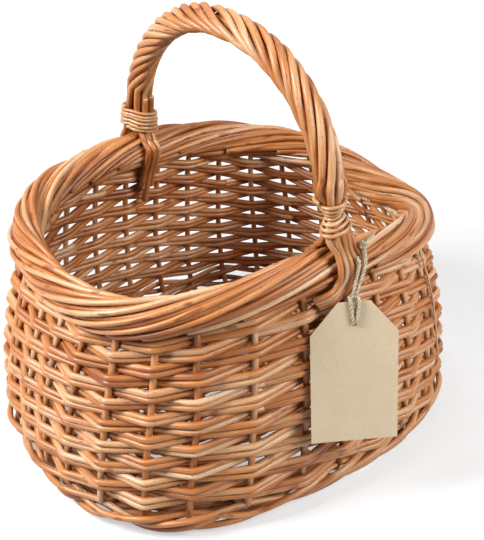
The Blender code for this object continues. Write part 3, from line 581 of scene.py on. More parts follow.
def hangerPath():  # down to the card, through its hole, up over its edge and back on the other side
    thick, fit, hole = twine["thick"], twine["fit"], tagForm["holeDrop"]
    beside = thick / 2 + fit
    apart = beside + thick + fit
    proud = tagForm["thick"] / 2 + fit + thick / 2
    above = thick + 2 * fit
    back = -proud - above * tan(tagLean)
    halfHitch = [
        (beside, -above, back), (beside, thick, -proud), (beside, hole - thick, -proud),
        (beside, hole, -proud * twine["holeBend"]), (beside, hole + fit, 0.0),
        (beside, hole, proud * twine["holeBend"]), (beside, hole - thick, proud), (apart, thick / 2, proud),
        (apart, -thick / 2, proud), (apart, -above, 0.0), (apart, -above, -proud - thick),
        (beside + fit, -above, back - thick - 2 * fit),
    ]
    return ([hangEnds[0]] + [onTag(-a, d, f) for a, d, f in halfHitch]
            + [onTag(a, d, f) for a, d, f in halfHitch][::-1] + [hangEnds[1]])


def knotPath():
    axis = unit(np.array(twine["knotAxis"]))
    side = unit(np.cross(axis, upright))
    other = np.cross(axis, side)
    path = []
    for i in range(twine["knotSteps"] + 1):
        share = i / twine["knotSteps"]
        turn = 2 * pi * twine["knotTurns"] * i / twine["knotSteps"]
        rise = (share - 0.5) * twine["thick"] * twine["knotTurns"] * twine["knotRise"]
        around = (side * cos(turn) + other * sin(turn)) * twine["knotRadius"]
        path.append(np.array(twine["knotMiddle"]) + axis * rise + around)
    return path


hangEnds = [hangPoint + tagAlong * twine["hangSpread"] / 2 * way for way in (-1, 1)]
loopEnds = [end + upright * (twine["thick"] / 2 + twine["fit"]) for end in hangEnds]
loopPath = [loopEnds[0], *twine["loopRoute"], loopEnds[1]]
hangerCurve, loopCurve, tailCurve = [smoothLine(route, twine["samples"])
                                     for route in (hangerPath(), loopPath, twine["tailRoute"])]
hanger, hangerLine, hangerLength = plyTwine("tagTwine", hangerCurve, "tag", ["twine_hanger"])
loop, loopLine, loopLength = plyTwine("twineLoop", loopCurve, "basket", ["twine_loop"])
knot = plyTwine("twineKnot", knotPath(), "basket")[0]
tail = plyTwine("twineTail", tailCurve, "basket", farEnd="cut")[0]
print("twine tied")

# Stakes: from under the base up the wall and once round the rolled border
stakeForm = {
    "wallPoints": 34, "topRoom": 0.006, "sway": (6, 0.0005), "borderSamples": 5, "strandFirst": 2,
    "strandEase": 6, "strandSway": (9, 0.0017), "liftMost": 0.0005, "strandShift": (12, 0.06),
    "lastShare": 0.93, "sizes": [(0.0, 1.0), (0.3, 1.0), (0.5, 1.04), (1.0, 0.72)],
    "rough": (7, 0.02), "tone": (0.54, 0.16), "innerStart": (0.1, 0.26), "innerEnd": 0.9,
    "innerDepth": 0.0034, "innerEase": 8, "innerSway": (10, 0.00119), "innerSizes": (1.1, 0.9),
    "innerTone": (0.4, 0.16), "sectionSteps": 720, "seed": 11,
}
sectionX = basket["borderWidth"] / 2 - stakeRadius
sectionZ = basket["borderHeight"] / 2 - stakeRadius
sectionTurn = np.linspace(0.0, 2 * pi, stakeForm["sectionSteps"] + 1)
sectionAside, sectionAbove = -sectionX * np.sin(sectionTurn), -sectionZ * np.cos(sectionTurn)
sectionWalk = walked(np.hypot(np.diff(sectionAside), np.diff(sectionAbove)))


def borderPoint(stake, turns, lift):  # a place on the border's section, this share of a turn round it
    place, outward, angle = rimFrame(stake + basket["stakeLean"] / 2)
    walk = turns % 1.0 * sectionWalk[-1]
    aside, above = np.interp(walk, sectionWalk, sectionAside), np.interp(walk, sectionWalk, sectionAbove)
    size = hypot(aside, above)
    aside, above = aside * (1 + lift / size), above * (1 + lift / size)
    flat = place + outward * (aside - basket["borderWidth"] / 2)
    return np.array([flat[0], flat[1], rimTop(angle) - basket["borderHeight"] / 2 + above])


def buildStakes():
    form = stakeForm
    rng = random.Random(form["seed"])
    steps = basket["borderTurn"] * form["borderSamples"]
    rods = []
    for number in range(stakeCount):
        up = np.linspace(0.0, wallLength(number) - form["topRoom"], form["wallPoints"])
        sway = drift(rng, len(up), *form["sway"])
        points = [wallPoint(number + sway[i] / spacing, up[i]) for i in range(len(up))]
        lift = drift(rng, steps + 1, *form["strandSway"])
        shift = drift(rng, steps + 1, *form["strandShift"])
        for i in range(form["strandFirst"], int(steps * form["lastShare"]) + 1):
            passed = i / form["borderSamples"]
            ease = min(1.0, i / form["strandEase"])
            points.append(borderPoint(number - passed - shift[i] * ease, passed / basket["borderTurn"],
                                      min(form["liftMost"], lift[i] * ease)))
        radii = stakeRadius * np.interp(np.linspace(0.0, 1.0, len(points)), *zip(*form["sizes"]))
        radii = radii * (1 + drift(rng, len(points), *form["rough"]))
        addRod(rods, points, radii, rng.gauss(*form["tone"]))
        # the next rod lies deeper between two strands, its cut end showing inside the rim
        first = rng.uniform(*form["innerStart"]) * steps
        deep = drift(rng, steps + 1, *form["innerSway"])
        points = []
        for i in range(int(first), int(steps * form["innerEnd"])):
            passed = i / form["borderSamples"]
            sink = form["innerDepth"] * min(1.0, (i - first) / form["innerEase"])
            points.append(borderPoint(number + 0.5 - passed, passed / basket["borderTurn"], deep[i] - sink))
        radii = stakeRadius * np.linspace(*form["innerSizes"], len(points))
        addRod(rods, points, radii, rng.gauss(*form["innerTone"]))
    replaced = [f"stake_{number + 1:02d}" for number in range(stakeCount)]
    makeRods("stakesAndBorder", rods, replaced)


buildStakes()

# A thin loose end hangs from under the border down the outside of the wall: stake number and height share
looseForm = {"places": [(25.62, 1.03), (25.7, 0.97), (25.78, 0.91), (25.88, 0.84), (25.95, 0.76),
                        (26.0, 0.67), (26.05, 0.57), (26.1, 0.5), (26.13, 0.46)],
             "out": 0.0084, "thick": 0.0017, "tone": 0.8, "samples": 4, "sides": 8}


def buildLooseEnd():
    form = looseForm
    points = [wallPoint(stake, wallLength(stake) * share, form["out"]) for stake, share in form["places"]]
    rods = []
    addRod(rods, smoothLine(points, form["samples"]), form["thick"] / 2, form["tone"], "tip", "tip")
    makeRods("looseEnd", rods, sides=form["sides"])


buildLooseEnd()
print("stakes and border built")

# Wall and base edge: pairs of rods in front of one stake and behind the next
weaveForm = {
    "samples": (0.0, 0.07, 0.2, 0.5, 0.8, 0.93), "crest": 0.09, "innerCrest": 0.0043, "rodShare": 0.565,
    "rodLength": (17, 27), "shortest": 9, "startOver": 0.3, "endOver": 0.26, "rowSway": (8, 0.00035),
    "outSway": (6, 0.00025), "tuck": 0.0022, "tuckLength": 0.7, "sizes": (1.05, 0.88), "rough": (9, 0.025),
    "tone": (0.52, 0.14), "firstStake": 52, "lastStake": 9, "seed": 5,
}
bends = [rimBend(n) for n in range(stakeCount)]


def weaveOut(x):
    near = round(x)
    off = abs(x - near)
    crest = weaveForm["crest"]
    wave = 1 - crest - off * off / crest if off < crest else 1 - 2 * off
    side = 1 if near % 2 else -1
    reach = (basket["crest"] if side > 0 else weaveForm["innerCrest"]) / (1 - crest)
    inside = x - floor(x)
    bend = bends[floor(x) % stakeCount] * (1 - inside) + bends[ceil(x) % stakeCount] * inside
    return side * reach * wave - spacing * bend * inside * (1 - inside)


def weavePair(rods, first, last, place, rng):
    form = weaveForm
    for level in (-1, 1):
        start = first
        while start < last:
            end = start + rng.randint(*form["rodLength"])
            end += end % 2
            if last - end < form["shortest"]:
                end = last
            low = start - (0.0 if start == first else form["startOver"])
            high = end + (0.0 if end == last else form["endOver"])
            numbers = [whole + part for whole in range(start - 1, end + 1) for part in form["samples"]]
            numbers = [x for x in numbers if low <= x <= high] + ([end] if end == last else [])
            count = len(numbers)
            lift = drift(rng, count, *form["rowSway"])
            away = drift(rng, count, *form["outSway"])
            points, pitches = [], []
            for i, x in enumerate(numbers):
                distance, pitch = place(x)
                out = weaveOut(x) + away[i]
                if start != first:
                    out -= form["tuck"] * max(0.0, 1 - (x - low) / form["tuckLength"])
                points.append(wallPoint(x, distance + level * pitch / 4 + lift[i], out))
                pitches.append(pitch)
            radii = np.array(pitches) / 2 * form["rodShare"] * np.linspace(*form["sizes"], count)
            radii = radii * (1 + drift(rng, count, *form["rough"]))
            addRod(rods, points, radii, rng.gauss(*form["tone"]))
            start = end


def buildWall():
    rng = random.Random(weaveForm["seed"])
    whole = basket["wallRounds"] * stakeCount
    ends = [weaveForm["firstStake"], whole // 2, whole + weaveForm["lastStake"]]
    for band in range(2):
        rods = []
        weavePair(rods, ends[band], ends[band + 1], wallRow, rng)
        makeRods(f"wallWeave{band + 1}", rods, [f"wall_weave_{band + 1}"])
    rods = []
    weavePair(rods, 0, basket["baseRounds"] * stakeCount, baseRow, rng)
    makeRods("baseEdgeWeave", rods, ["base_edge_weave"])


buildWall()
print("wall woven")

# Foot: rounds of three rods, each in front of two stakes and behind the third
footForm = {"starts": (0.0285, 0.0365, 0.0445, 0.0525), "outs": (0.0054, 0.0078, 0.0086, 0.0074),
            "inside": -0.0008, "slant": 0.003, "thick": 0.0058, "sway": 0.0003, "samples": 6,
            "ground": 0.0001, "sizes": (1.03, 0.9), "tone": (0.48, 0.13), "seed": 8}


def buildFoot():
    form = footForm
    rng = random.Random(form["seed"])
    radius, samples = form["thick"] / 2, form["samples"]
    rods = []
    for row, (start, out) in enumerate(zip(form["starts"], form["outs"])):
        for strand in range(3):
            first = rng.randint(0, stakeCount - 1)
            corners = []
            for i in range(-1, stakeCount + 3):
                turn = (i + strand + row) % 3
                offset = (form["inside"], out, out)[turn] + rng.gauss(0, form["sway"])
                distance = start + (0.0, -1.0, 1.0)[turn] * form["slant"] + rng.gauss(0, form["sway"])
                corners.append(wallPoint(first + i, distance, offset))
            points = smoothLine(corners, samples)[samples:-samples]
            points[:, 2] = np.maximum(points[:, 2], radius + form["ground"])
            addRod(rods, points, radius * np.linspace(*form["sizes"], len(points)), rng.gauss(*form["tone"]))
    makeRods("footWale", rods, [f"foot_wale_{n}" for n in (1, 2, 3)])


buildFoot()
print("foot wale built")

# Base: split short sticks, long sticks through them, and the weaving between
baseForm = {
    "shortSticks": 4, "stickThick": 0.0062, "columnPitch": 0.026, "dome": 0.007, "firstSide": 0.0125,
    "firstEnd": 0.062, "fanStart": 0.046, "fanFirst": 0.12, "rimGap": 0.0004, "longTone": (0.5, 0.1),
    "legShares": (0.0, 0.25, 0.5, 0.75, 1.0), "longEnds": [(1, 6), (0, 7), (13, 8)],
    "slitRise": 0.0018, "slitOpen": 0.004, "openRise": 0.0012, "splitThick": 0.0038, "splitRoom": 0.003,
    "wholeRoom": 0.006, "openThick": 0.0052, "splitSizes": {-1: 0.98, 1: 0.999}, "shortTone": (0.45, 0.1),
    "weaveThick": 0.004, "weaveRows": 20, "lastRoom": 0.7, "rowInset": 0.0005, "press": 0.0003,
    "rough": (12, 0.03), "rodPoints": 260, "rodOver": 4, "fewestPoints": 8, "weaveTone": (0.5, 0.14),
    "weaveSides": 8, "samples": 3, "seed": 21,
}
stickEnds = 2 * (baseForm["shortSticks"] + 3)
stickRadius = baseForm["stickThick"] / 2
longPitch = baseForm["stickThick"] + basket["fit"]
tipOffset = bellyOffset - cornerRadius - basket["footReach"] - baseForm["rimGap"]


def stickTip(end):
    share = end / stickEnds * stakeCount
    place, outward, _ = rimFrame(round(share) - basket["stakeLean"] / 2)
    aside = np.array([-outward[1], outward[0]]) * (1 if share >= round(share) else -1)
    return place + outward * tipOffset + aside * (stakeRadius + stickRadius + basket["fit"])


def domePoint(flat, share):
    return np.array([flat[0], flat[1], baseHeight + baseForm["dome"] * (1 - share ** 2)])


def firstCrossing(end):
    half = stickEnds // 2
    side = 1 if end % half != 0 and end < half else -1
    turned = end if end < half else stickEnds - end
    if turned in (0, half):
        return np.array([baseForm["firstEnd"] if turned == 0 else -baseForm["firstEnd"], 0.0])
    if turned in (1, half - 1):
        bend = np.array([baseForm["fanStart"] if turned == 1 else -baseForm["fanStart"], side * longPitch])
        return bend + (stickTip(end) - bend) * baseForm["fanFirst"]
    column = (baseForm["shortSticks"] + 1) / 2 - (turned - 1)
    return np.array([column * baseForm["columnPitch"], side * baseForm["firstSide"]])


def stickLeg(end):
    first, tip = firstCrossing(end), stickTip(end)
    return [domePoint(first + (tip - first) * share, share) for share in baseForm["legShares"]]


def rowCrossing(end, row):
    share = (row + 0.5) / (baseForm["weaveRows"] + baseForm["lastRoom"])
    before, after = floor(end) % stickEnds, ceil(end) % stickEnds
    first = (firstCrossing(before) + firstCrossing(after)) / 2
    tip = stickTip(before)
    if before != after:  # between two sticks the row follows the oval
        place, outward, _ = rimFrame(end / stickEnds * stakeCount)
        tip = place + outward * (tipOffset - baseForm["rowInset"])
    return domePoint(first + (tip - first) * share, share)


def buildBase():
    form = baseForm
    rng = random.Random(form["seed"])
    middle = baseHeight + form["dome"]
    rods = []
    for side, (end, farEnd) in zip((1, 0, -1), form["longEnds"]):
        straight = [np.array([x, side * longPitch, middle]) for x in (form["fanStart"], -form["fanStart"])]
        points = smoothLine(stickLeg(end)[::-1] + straight + stickLeg(farEnd), form["samples"])
        addRod(rods, points, stickRadius, rng.gauss(*form["longTone"]))
    makeRods("baseLongSticks", rods, [f"base_long_stick_{n}" for n in (1, 2, 3)])
    # each short stick splits in two above and below the long ones
    rods = []
    slit = longPitch + stickRadius + basket["fit"]
    for upper in range(2, form["shortSticks"] + 2):
        column = firstCrossing(upper)[0]
        tone = rng.gauss(*form["shortTone"])
        for level in (-1, 1):
            rise, closed = level * (stickRadius + form["slitRise"]), level * form["openRise"]
            bridge = [(slit + form["slitOpen"], closed), (slit, rise), (0.0, rise), (-slit, rise),
                      (-slit - form["slitOpen"], closed)]
            bridge = [np.array([column, y, middle + z]) for y, z in bridge]
            corners = stickLeg(upper)[::-1] + bridge + stickLeg(stickEnds - upper)
            points = smoothLine(corners, form["samples"])
            away = np.abs(points[:, 1])
            whole = stickRadius * form["splitSizes"][level]
            radii = np.where(away > slit + form["wholeRoom"], whole, form["openThick"] / 2)
            radii = np.where(away < slit + form["splitRoom"], form["splitThick"] / 2, radii)
            addRod(rods, points, radii, tone)
    replaced = [f"base_short_stick_{n}" for n in (1, 2, 3, 4)]
    makeRods("baseShortSticks", rods, replaced)
    rods = []
    rise = stickRadius + form["weaveThick"] / 2 - form["press"]
    for strand in range(2):
        corners = []
        for i in range(int(form["weaveRows"] / 2 * stickEnds) + 1):
            level = 1 if (i + strand) % 2 else -1
            corners.append(rowCrossing(i, 2 * i / stickEnds + strand) + np.array([0.0, 0.0, level * rise]))
            corners.append(rowCrossing(i + 0.5, 2 * (i + 0.5) / stickEnds + strand))
        points = smoothLine(corners, form["samples"])
        radii = form["weaveThick"] / 2 * (1 + drift(rng, len(points), *form["rough"]))
        for start in range(0, len(points), form["rodPoints"]):  # a new rod joins every three rounds or so
            part = slice(start, min(len(points), start + form["rodPoints"] + form["rodOver"]))
            if part.stop - part.start > form["fewestPoints"]:
                addRod(rods, points[part], radii[part], rng.gauss(*form["weaveTone"]))
    makeRods("baseWeave", rods, ["base_weave_1", "base_weave_2"], sides=form["weaveSides"])


buildBase()
print("base built")


# Bow handle: a core inside a rope of rods, spread over the border at each foot
def archPoint(turn):
    power = 2 / handle["archPower"]
    out, rise = signedPower(cos(turn), power), abs(sin(turn)) ** power
    lean = handle["archLean"] * max(0.0, rise - handle["leanFrom"]) / (1 - handle["leanFrom"])
    return np.array([0.0, archHalf * out - lean, archStart + archRise * rise])


def archOut(turn):
    return unit(np.array([0.0, archRise * cos(turn), archHalf * sin(turn)]))


def legOut(up):
    power = handle["archPower"]
    return archHalf * (1 - max(0.0, (up - archStart) / archRise) ** power) ** (1 / power)


ropeForm = {
    "steps": 110, "sway": (8, 0.00035), "slip": (14, 0.1), "sizes": (1.02, 0.98),
    "rough": (10, 0.03), "footSize": 0.84, "footHeight": 0.06, "tone": (0.58, 0.12), "toneLeast": 0.48,
    "twistRate": [(0.0, 1.0), (0.25, 1.05), (0.5, 1.0), (0.75, 0.8), (1.0, 0.35)],
    "joinRod": 5, "joinAt": 110, "joinOver": 4, "joinTone": -0.2, "joinBend": 5, "joinInset": 0.0004,
    "legCore": 0.0034, "coreTurns": (130.0, 155.0), "coreStep": 25.0, "coreShares": (0.3, 0.65, 1.0),
    "coreWiden": (0.02, 0.045), "coreTone": 0.35, "coreEvery": 10, "coreSides": 12, "innerSide": 0.00525,
    "innerNear": 0.003, "innerBack": 0.0026, "blend": 4, "legSamples": 5, "seed": 31,
}
# The fan of rods over the border: its top inside the lashing, over the border, then round under it
fanForm = {
    "topShare": 0.36, "topPitch": 0.0046, "topSide": 0.0009, "topOut": 0.95, "topCurve": 0.0013,
    "overTurn": 52.0, "overSide": 0.72, "overPitch": 0.0006, "overGap": 0.0012, "side": 0.0068,
    "pitch": 0.0053, "twineRoom": 0.6, "turns": (18.0, -10.0), "bend": 0.012, "bendPitch": 0.7,
    "bendTurn": 74.0, "bendShares": (0.35, 0.7, 1.0), "bendDown": 0.95, "bendAside": 1.1,
    "outLess": 0.001, "tuckSteps": ((0.5, 0.4), (1.0, 1.0)), "tuckOn": 0.012, "tuckDeep": 0.006,
}
coreRadius = handle["coreThick"] / 2


def coreLeg():
    places = [(0.0, legOut(splayLevel) - handle["splayIn"], splayLevel)]
    gap = handle["fit"] + coreRadius
    places += [(0.0, *roundBorder(degrees, gap, ropeForm["coreStep"])) for degrees in ropeForm["coreTurns"]]
    places.append((0.0, halfY - basket["borderWidth"] - ropeForm["legCore"] - handle["fit"], sectionUp))
    top, drop = handleEdge - handle["ropeDepth"], handle["coreDepth"] - handle["ropeDepth"]
    levels = [top - drop * share for share in ropeForm["coreShares"]]
    return places + [(0.0, wallOut(up, gap, -1), up) for up in levels]


def fanLeg(rank, near):  # rank 0 lies furthest to the left as seen from outside the foot
    form = fanForm
    slot = rank - (handle["fanRods"] - 1) / 2
    level = handleEdge + handle["splayTop"] * form["topShare"]
    out = legOut(level) + handle["ropeRadius"] * form["topOut"] - form["topCurve"] * slot * slot
    places = [(slot * form["topPitch"] + form["topSide"], out, level)]
    side = (form["side"] if near else 0.0) + slot * form["pitch"]
    gap = handle["fit"] + handle["rodThick"] / 2
    if near and rank == handle["fanRods"] - 1:
        gap += twine["room"] * form["twineRoom"]
    places.append((side * form["overSide"] + slot * form["overPitch"],
                   *roundBorder(form["overTurn"], gap + form["overGap"])))
    places += [(side, *roundBorder(degrees, gap)) for degrees in form["turns"]]
    bend = form["bend"] + (rank if near else handle["fanRods"] - 1 - rank) * form["pitch"] * form["bendPitch"]
    way = -1.0 if near else 1.0
    bottom = places[-1][2]
    for share in form["bendShares"]:
        turn = radians(form["bendTurn"]) * share
        up = bottom - bend * form["bendDown"] * sin(turn)
        out = max(roundBorder(form["turns"][-1], gap)[0] - form["outLess"], wallOut(up, gap, 1))
        places.append((side + way * bend * form["bendAside"] * (1 - cos(turn)), out, up))
    last = np.array(places[-1])
    ahead = unit(last - np.array(places[-2]))
    for share, deep in form["tuckSteps"]:  # the tip goes in under the border
        tip = last + ahead * form["tuckOn"] * share
        places.append((tip[0], tip[1] - form["tuckDeep"] * deep, tip[2]))
    return places


def innerLeg(rank, count):  # the others run down inside the basket beside the core
    line = coreLeg()[:-1]
    turn = pi * (rank / (count - 1) - 0.5)
    back = ropeForm["innerBack"] * cos(turn) - (ropeForm["innerNear"] if rank % 2 else 0.0)
    places = []
    for i, place in enumerate(line):
        before, after = line[max(i - 1, 0)], line[min(i + 1, len(line) - 1)]
        square = unit(np.array([after[2] - before[2], before[1] - after[1]]))
        out, up = np.array(place[1:]) + square * back
        places.append((ropeForm["innerSide"] * sin(turn), out, up))
    return places


def ropeLegs(near):  # outermost rods of the foot make the fan, the others go inside
    count, fanRods = handle["ropeRods"], handle["fanRods"]
    angles = [2 * pi * slot / count for slot in range(count)]
    aside = [sin(angle) if near else -sin(angle) for angle in angles]
    ranked = sorted(range(count), key=lambda slot: -cos(angles[slot]))
    fan = sorted(ranked[:fanRods], key=lambda slot: aside[slot])
    inner = sorted(ranked[fanRods:], key=lambda slot: aside[slot])
    found = {slot: fanLeg(rank, near) for rank, slot in enumerate(fan)}
    found.update({slot: innerLeg(rank, len(inner)) for rank, slot in enumerate(inner)})
    return {slot: [toWorld(place, near) for place in places] for slot, places in found.items()}


def buildHandle():
    form = ropeForm
    rng = random.Random(form["seed"])
    count, steps = handle["ropeRods"], form["steps"]
    turns = np.linspace(openTurn, pi - openTurn, steps + 1)
    share = np.linspace(0.0, 1.0, steps + 1)
    rate = np.interp(share, *zip(*form["twistRate"]))
    twist = walked((rate[1:] + rate[:-1]) / 2)
    twist = twist / twist[-1] * handle["turns"]
    middle = np.sin(pi * share)
    nearLegs, farLegs = ropeLegs(True), ropeLegs(False)
    blend, samples = form["blend"], form["legSamples"]
    rods, lines = [], []
    for slot in range(count):
        sway = drift(rng, steps + 1, *form["sway"])
        slip = drift(rng, steps + 1, *form["slip"])
        arch = []
        for i, turn in enumerate(turns):
            phase = 2 * pi * (slot / count - twist[i]) + slip[i] * middle[i]
            aside = archOut(turn) * cos(phase) + np.array([sin(phase), 0.0, 0.0])
            arch.append(archPoint(turn) + aside * (handle["ropeRadius"] + sway[i] * middle[i]))
        far = smoothLine(farLegs[slot][::-1] + arch[:2 * blend:blend], samples)[:-samples - 1]
        near = smoothLine(arch[-blend - 1::blend] + nearLegs[slot], samples)
        points = np.concatenate([far, arch[:-blend - 1], near])
        lines.append(points)
        radii = np.linspace(*form["sizes"], len(points))
        radii *= 1 + drift(rng, len(points), *form["rough"])
        footTop = handleEdge + form["footHeight"]
        radii *= np.interp(points[:, 2], [handleEdge, footTop], [form["footSize"], 1.0])
        radii *= handle["rodThick"] / 2
        tone = max(form["toneLeast"], rng.gauss(*form["tone"]))
        if slot == form["joinRod"]:  # here one rod ends, and the next begins beside it
            at, bent = form["joinAt"], form["joinBend"]
            addRod(rods, points[at:], radii[at:], tone + form["joinTone"])
            points, radii = points[:at + form["joinOver"]].copy(), radii[:at + form["joinOver"]]
            ropeMiddle = np.array([0.0, points[-1][1], archStart])
            for k in range(1, bent + 1):
                points[-k] += unit(ropeMiddle - points[-k]) * form["joinInset"] * (bent + 1 - k)
        addRod(rods, points, radii, tone)
    makeRods("handleRope", rods, [f"rope_rod_{n + 1}" for n in range(count)])
    farLeg, nearLeg = ([toWorld(place, near) for place in coreLeg()] for near in (False, True))
    coreArch = [archPoint(turn) for turn in turns[::form["coreEvery"]]]
    core = smoothLine(farLeg[::-1] + coreArch + nearLeg, samples)
    wide = np.interp(core[:, 2], [handleEdge + up for up in form["coreWiden"]], [0.0, 1.0])
    rods = []
    addRod(rods, core, form["legCore"] + (coreRadius - form["legCore"]) * wide, form["coreTone"])
    makeRods("handleCore", rods, ["handle_core"], sides=form["coreSides"])
    return lines


ropeLines = buildHandle()
print("handle built")

# Lashings round the feet of the handle, and two thick ends cut off above the far one: side, depth, radius
lashForm = {
    "near": {"turns": 7.5, "bottom": 0.0165, "tilt": 0.0016, "seed": 3},
    "far": {"turns": 6, "bottom": 0.002, "tilt": 0.0042, "seed": 4},
    "pitch": 0.0035, "thick": 0.0031, "perTurn": 40, "sway": (9, 0.00022), "rise": (40, 0.00035),
    "press": 0.96, "tone": 0.62, "sides": 12,
}
stubForm = {"ends": [(0.0002, 0.0112, 0.0026), (-0.007, 0.0088, 0.0036)], "bottom": 0.001, "top": 0.035,
            "points": 7, "tone": 0.34, "sides": 14}


def buildStubs():
    rods = []
    levels = np.linspace(handleEdge + stubForm["bottom"], handleEdge + stubForm["top"], stubForm["points"])
    for side, deep, radius in stubForm["ends"]:
        points = [toWorld((side, legOut(up) - deep, up), False) for up in levels]
        addRod(rods, points, radius, stubForm["tone"])
    makeRods("handleStubs", rods, sides=stubForm["sides"])


def ropeFeet(near, up):  # side and depth of every rope rod at a height
    feet = []
    for line in ropeLines:
        part = np.array([toWorld(point, near) for point in line if (point[1] < 0) == near])
        part = part[::-1] if near else part
        feet.append([np.interp(up, part[:, 2], part[:, k]) for k in range(2)])
    return np.array(feet)


def buildLashing(foot):
    rng = random.Random(lashForm[foot]["seed"])
    near = foot == "near"
    turns, radius = lashForm[foot]["turns"], lashForm["thick"] / 2
    steps = int(turns * lashForm["perTurn"])
    sway = drift(rng, steps + 1, *lashForm["sway"])
    level = drift(rng, steps + 1, *lashForm["rise"])
    points = []
    for i in range(steps + 1):
        up = handleEdge + lashForm[foot]["bottom"] + i / steps * turns * lashForm["pitch"]
        feet = ropeFeet(near, up)
        middle = (feet[:, 1].max() + feet[:, 1].min()) / 2
        around = [(side, deep, handle["rodThick"] / 2) for side, deep in feet]
        if not near:
            around += [(side, legOut(up) - deep, stubRadius) for side, deep, stubRadius in stubForm["ends"]]
        turn = 2 * pi * i / lashForm["perTurn"] + pi / 2
        way = np.array([sin(turn), cos(turn)])
        reach = max(float(np.array([side, deep - middle]) @ way) + size for side, deep, size in around)
        side, out = way * (reach + radius * lashForm["press"] + sway[i])
        slope = lashForm[foot]["tilt"] * sin(turn)
        points.append(toWorld((side, middle + out, up + level[i] + slope), near))
    rods = []
    addRod(rods, points, radius, lashForm["tone"])
    makeRods("lashing" + foot.capitalize(), rods, ["lashing_" + foot], lashWillow,
             sides=lashForm["sides"])


buildStubs()
for foot in ("near", "far"):
    buildLashing(foot)
print("lashings wound")

# Tag: a plain card with cut corners and a punched hole
cardForm = {"cells": 14, "curl": 0.0012, "curlAcross": 0.35, "curlAlong": 0.8, "curlMiddle": 0.15,
            "curlLess": 0.25, "holeSides": 40, "punchDepth": 0.01}


def buildTag():
    bm = bmesh.new()
    neck, width, length = tagForm["neck"] / 2, tagForm["width"] / 2, tagForm["length"]
    cells, shoulder = cardForm["cells"], tagForm["shoulder"]
    outline = [(-neck, 0.0), (neck, 0.0), (width, shoulder), (width, length), (-width, length),
               (-width, shoulder)]
    bm.faces.new([bm.verts.new((x, y, 0.0)) for x, y in outline])
    cuts = [(-width + 2 * width * k / cells, 0) for k in range(1, cells)]
    cuts += [(length * k / (2 * cells), 1) for k in range(1, 2 * cells)]
    for place, axis in cuts:
        ahead = Vector((1 - axis, axis, 0))
        bmesh.ops.bisect_plane(bm, geom=bm.verts[:] + bm.edges[:] + bm.faces[:], plane_co=ahead * place,
                               plane_no=ahead)
    for vertex in bm.verts:
        x, y = vertex.co.x / width, vertex.co.y / length - cardForm["curlMiddle"]
        curl = x * x * cardForm["curlAcross"] + y ** 2 * cardForm["curlAlong"] - cardForm["curlLess"]
        front = cardForm["curl"] * curl - tagForm["thick"] / 2
        vertex.co = Vector(onTag(vertex.co.x, vertex.co.y, front))
    mesh = meshFrom(bm, "tagCard")
    mesh.materials.append(card)
    piece = addObject("tagCard", mesh)
    thick = piece.modifiers.new("thickness", "SOLIDIFY")
    thick.thickness = tagForm["thick"]
    thick.offset = 1.0 if mesh.polygons[0].normal @ Vector(tagFront) > 0 else -1.0
    punch = bmesh.new()
    bmesh.ops.create_cone(punch, cap_ends=True, segments=cardForm["holeSides"], radius1=tagForm["hole"] / 2,
                          radius2=tagForm["hole"] / 2, depth=cardForm["punchDepth"])
    turned = Vector((0, 0, 1)).rotation_difference(Vector(tagFront))
    bmesh.ops.rotate(punch, verts=punch.verts[:], matrix=turned.to_matrix())
    bmesh.ops.translate(punch, verts=punch.verts[:], vec=Vector(onTag(0.0, tagForm["holeDrop"], 0.0)))
    cutter = addObject("holePunch", meshFrom(punch, "holePunch"))
    cut = piece.modifiers.new("hole", "BOOLEAN")
    cut.operation, cut.solver, cut.object = "DIFFERENCE", "EXACT", cutter
    done = finalMesh(piece)
    piece.modifiers.clear()
    piece.data = done
    done.name = "tagCard"
    bpy.data.objects.remove(cutter, do_unlink=True)
    dress(piece, "tag", ["tag"])


buildTag()
print("tag hung")

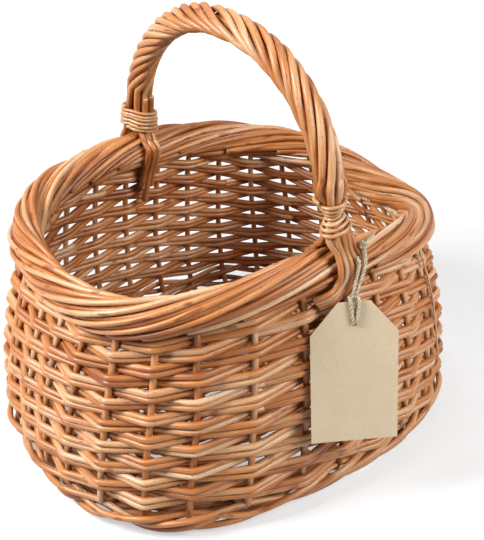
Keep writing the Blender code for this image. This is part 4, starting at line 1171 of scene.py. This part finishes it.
# Floor and studio light; turns are degrees to the right of the camera, lifts above the floor
studio = {
    "floorSize": 60.0, "floorColour": (0.4, 0.4, 0.4, 1), "floorRoughness": 0.9, "floorSpecular": 0.2,
    "floorGlow": 0.5, "glowFrom": 0.42, "glowTo": 1.1, "white": (1, 1, 1, 1), "world": 0.03,
    "aim": (0.0, 0.0, 0.13),
    "lamps": [
        {"name": "softLeft", "turn": -70.0, "lift": 42.0, "distance": 1.45, "size": 0.6, "power": 37.5},
        {"name": "softRight", "turn": 64.0, "lift": 36.0, "distance": 1.45, "size": 0.6, "power": 20.5},
        {"name": "softTop", "turn": 180.0, "lift": 78.0, "distance": 1.6, "size": 0.8, "power": 3.6},
    ],
}


def seenRays(tree):  # 1 for what the camera sees, also in a reflection or through glass
    rays = node(tree, "LightPath").outputs
    seen = mathNode(tree, "ADD", rays["Is Camera Ray"], rays["Is Glossy Ray"])
    return mathNode(tree, "ADD", seen, rays["Is Transmission Ray"], clamp=True)


def buildFloor():
    bm = bmesh.new()
    bmesh.ops.create_grid(bm, x_segments=2, y_segments=2, size=studio["floorSize"] / 2)
    floor = addObject("floor", meshFrom(bm, "floor"))
    made, tree, shader = newMaterial("paleFloor")
    place = node(tree, "TexCoord").outputs["Object"]
    away = node(tree, "VectorMath", {0: place}, operation="LENGTH").outputs["Value"]
    glow = spread(tree, away, studio["glowFrom"], studio["glowTo"], studio["floorGlow"], 1.0)
    feed(tree, shader, {
        "Base Color": studio["floorColour"], "Roughness": studio["floorRoughness"],
        "Specular IOR Level": studio["floorSpecular"], "Emission Color": studio["white"],
        "Emission Strength": mathNode(tree, "MULTIPLY", seenRays(tree), glow),
    })
    floor.data.materials.append(made)


def buildLight():
    for lamp in studio["lamps"]:
        light = bpy.data.lights.new(lamp["name"], "AREA")
        light.shape, light.size, light.energy = "SQUARE", lamp["size"], lamp["power"]
        addAimed(lamp["name"], light, studio["aim"], camera["azimuth"] + lamp["turn"], lamp["lift"],
                 lamp["distance"])
    world = bpy.data.worlds.new("studioWorld")
    scene.world = world
    world.use_nodes = True
    tree = world.node_tree
    tree.nodes.clear()
    dim, bright = [node(tree, "Background", {"Color": studio["white"], "Strength": strength}).outputs[0]
                   for strength in (studio["world"], 1.0)]
    mix = node(tree, "MixShader", {0: seenRays(tree), 1: dim, 2: bright})
    node(tree, "OutputWorld", {0: mix.outputs[0]})


buildFloor()
buildLight()
print("studio lit")
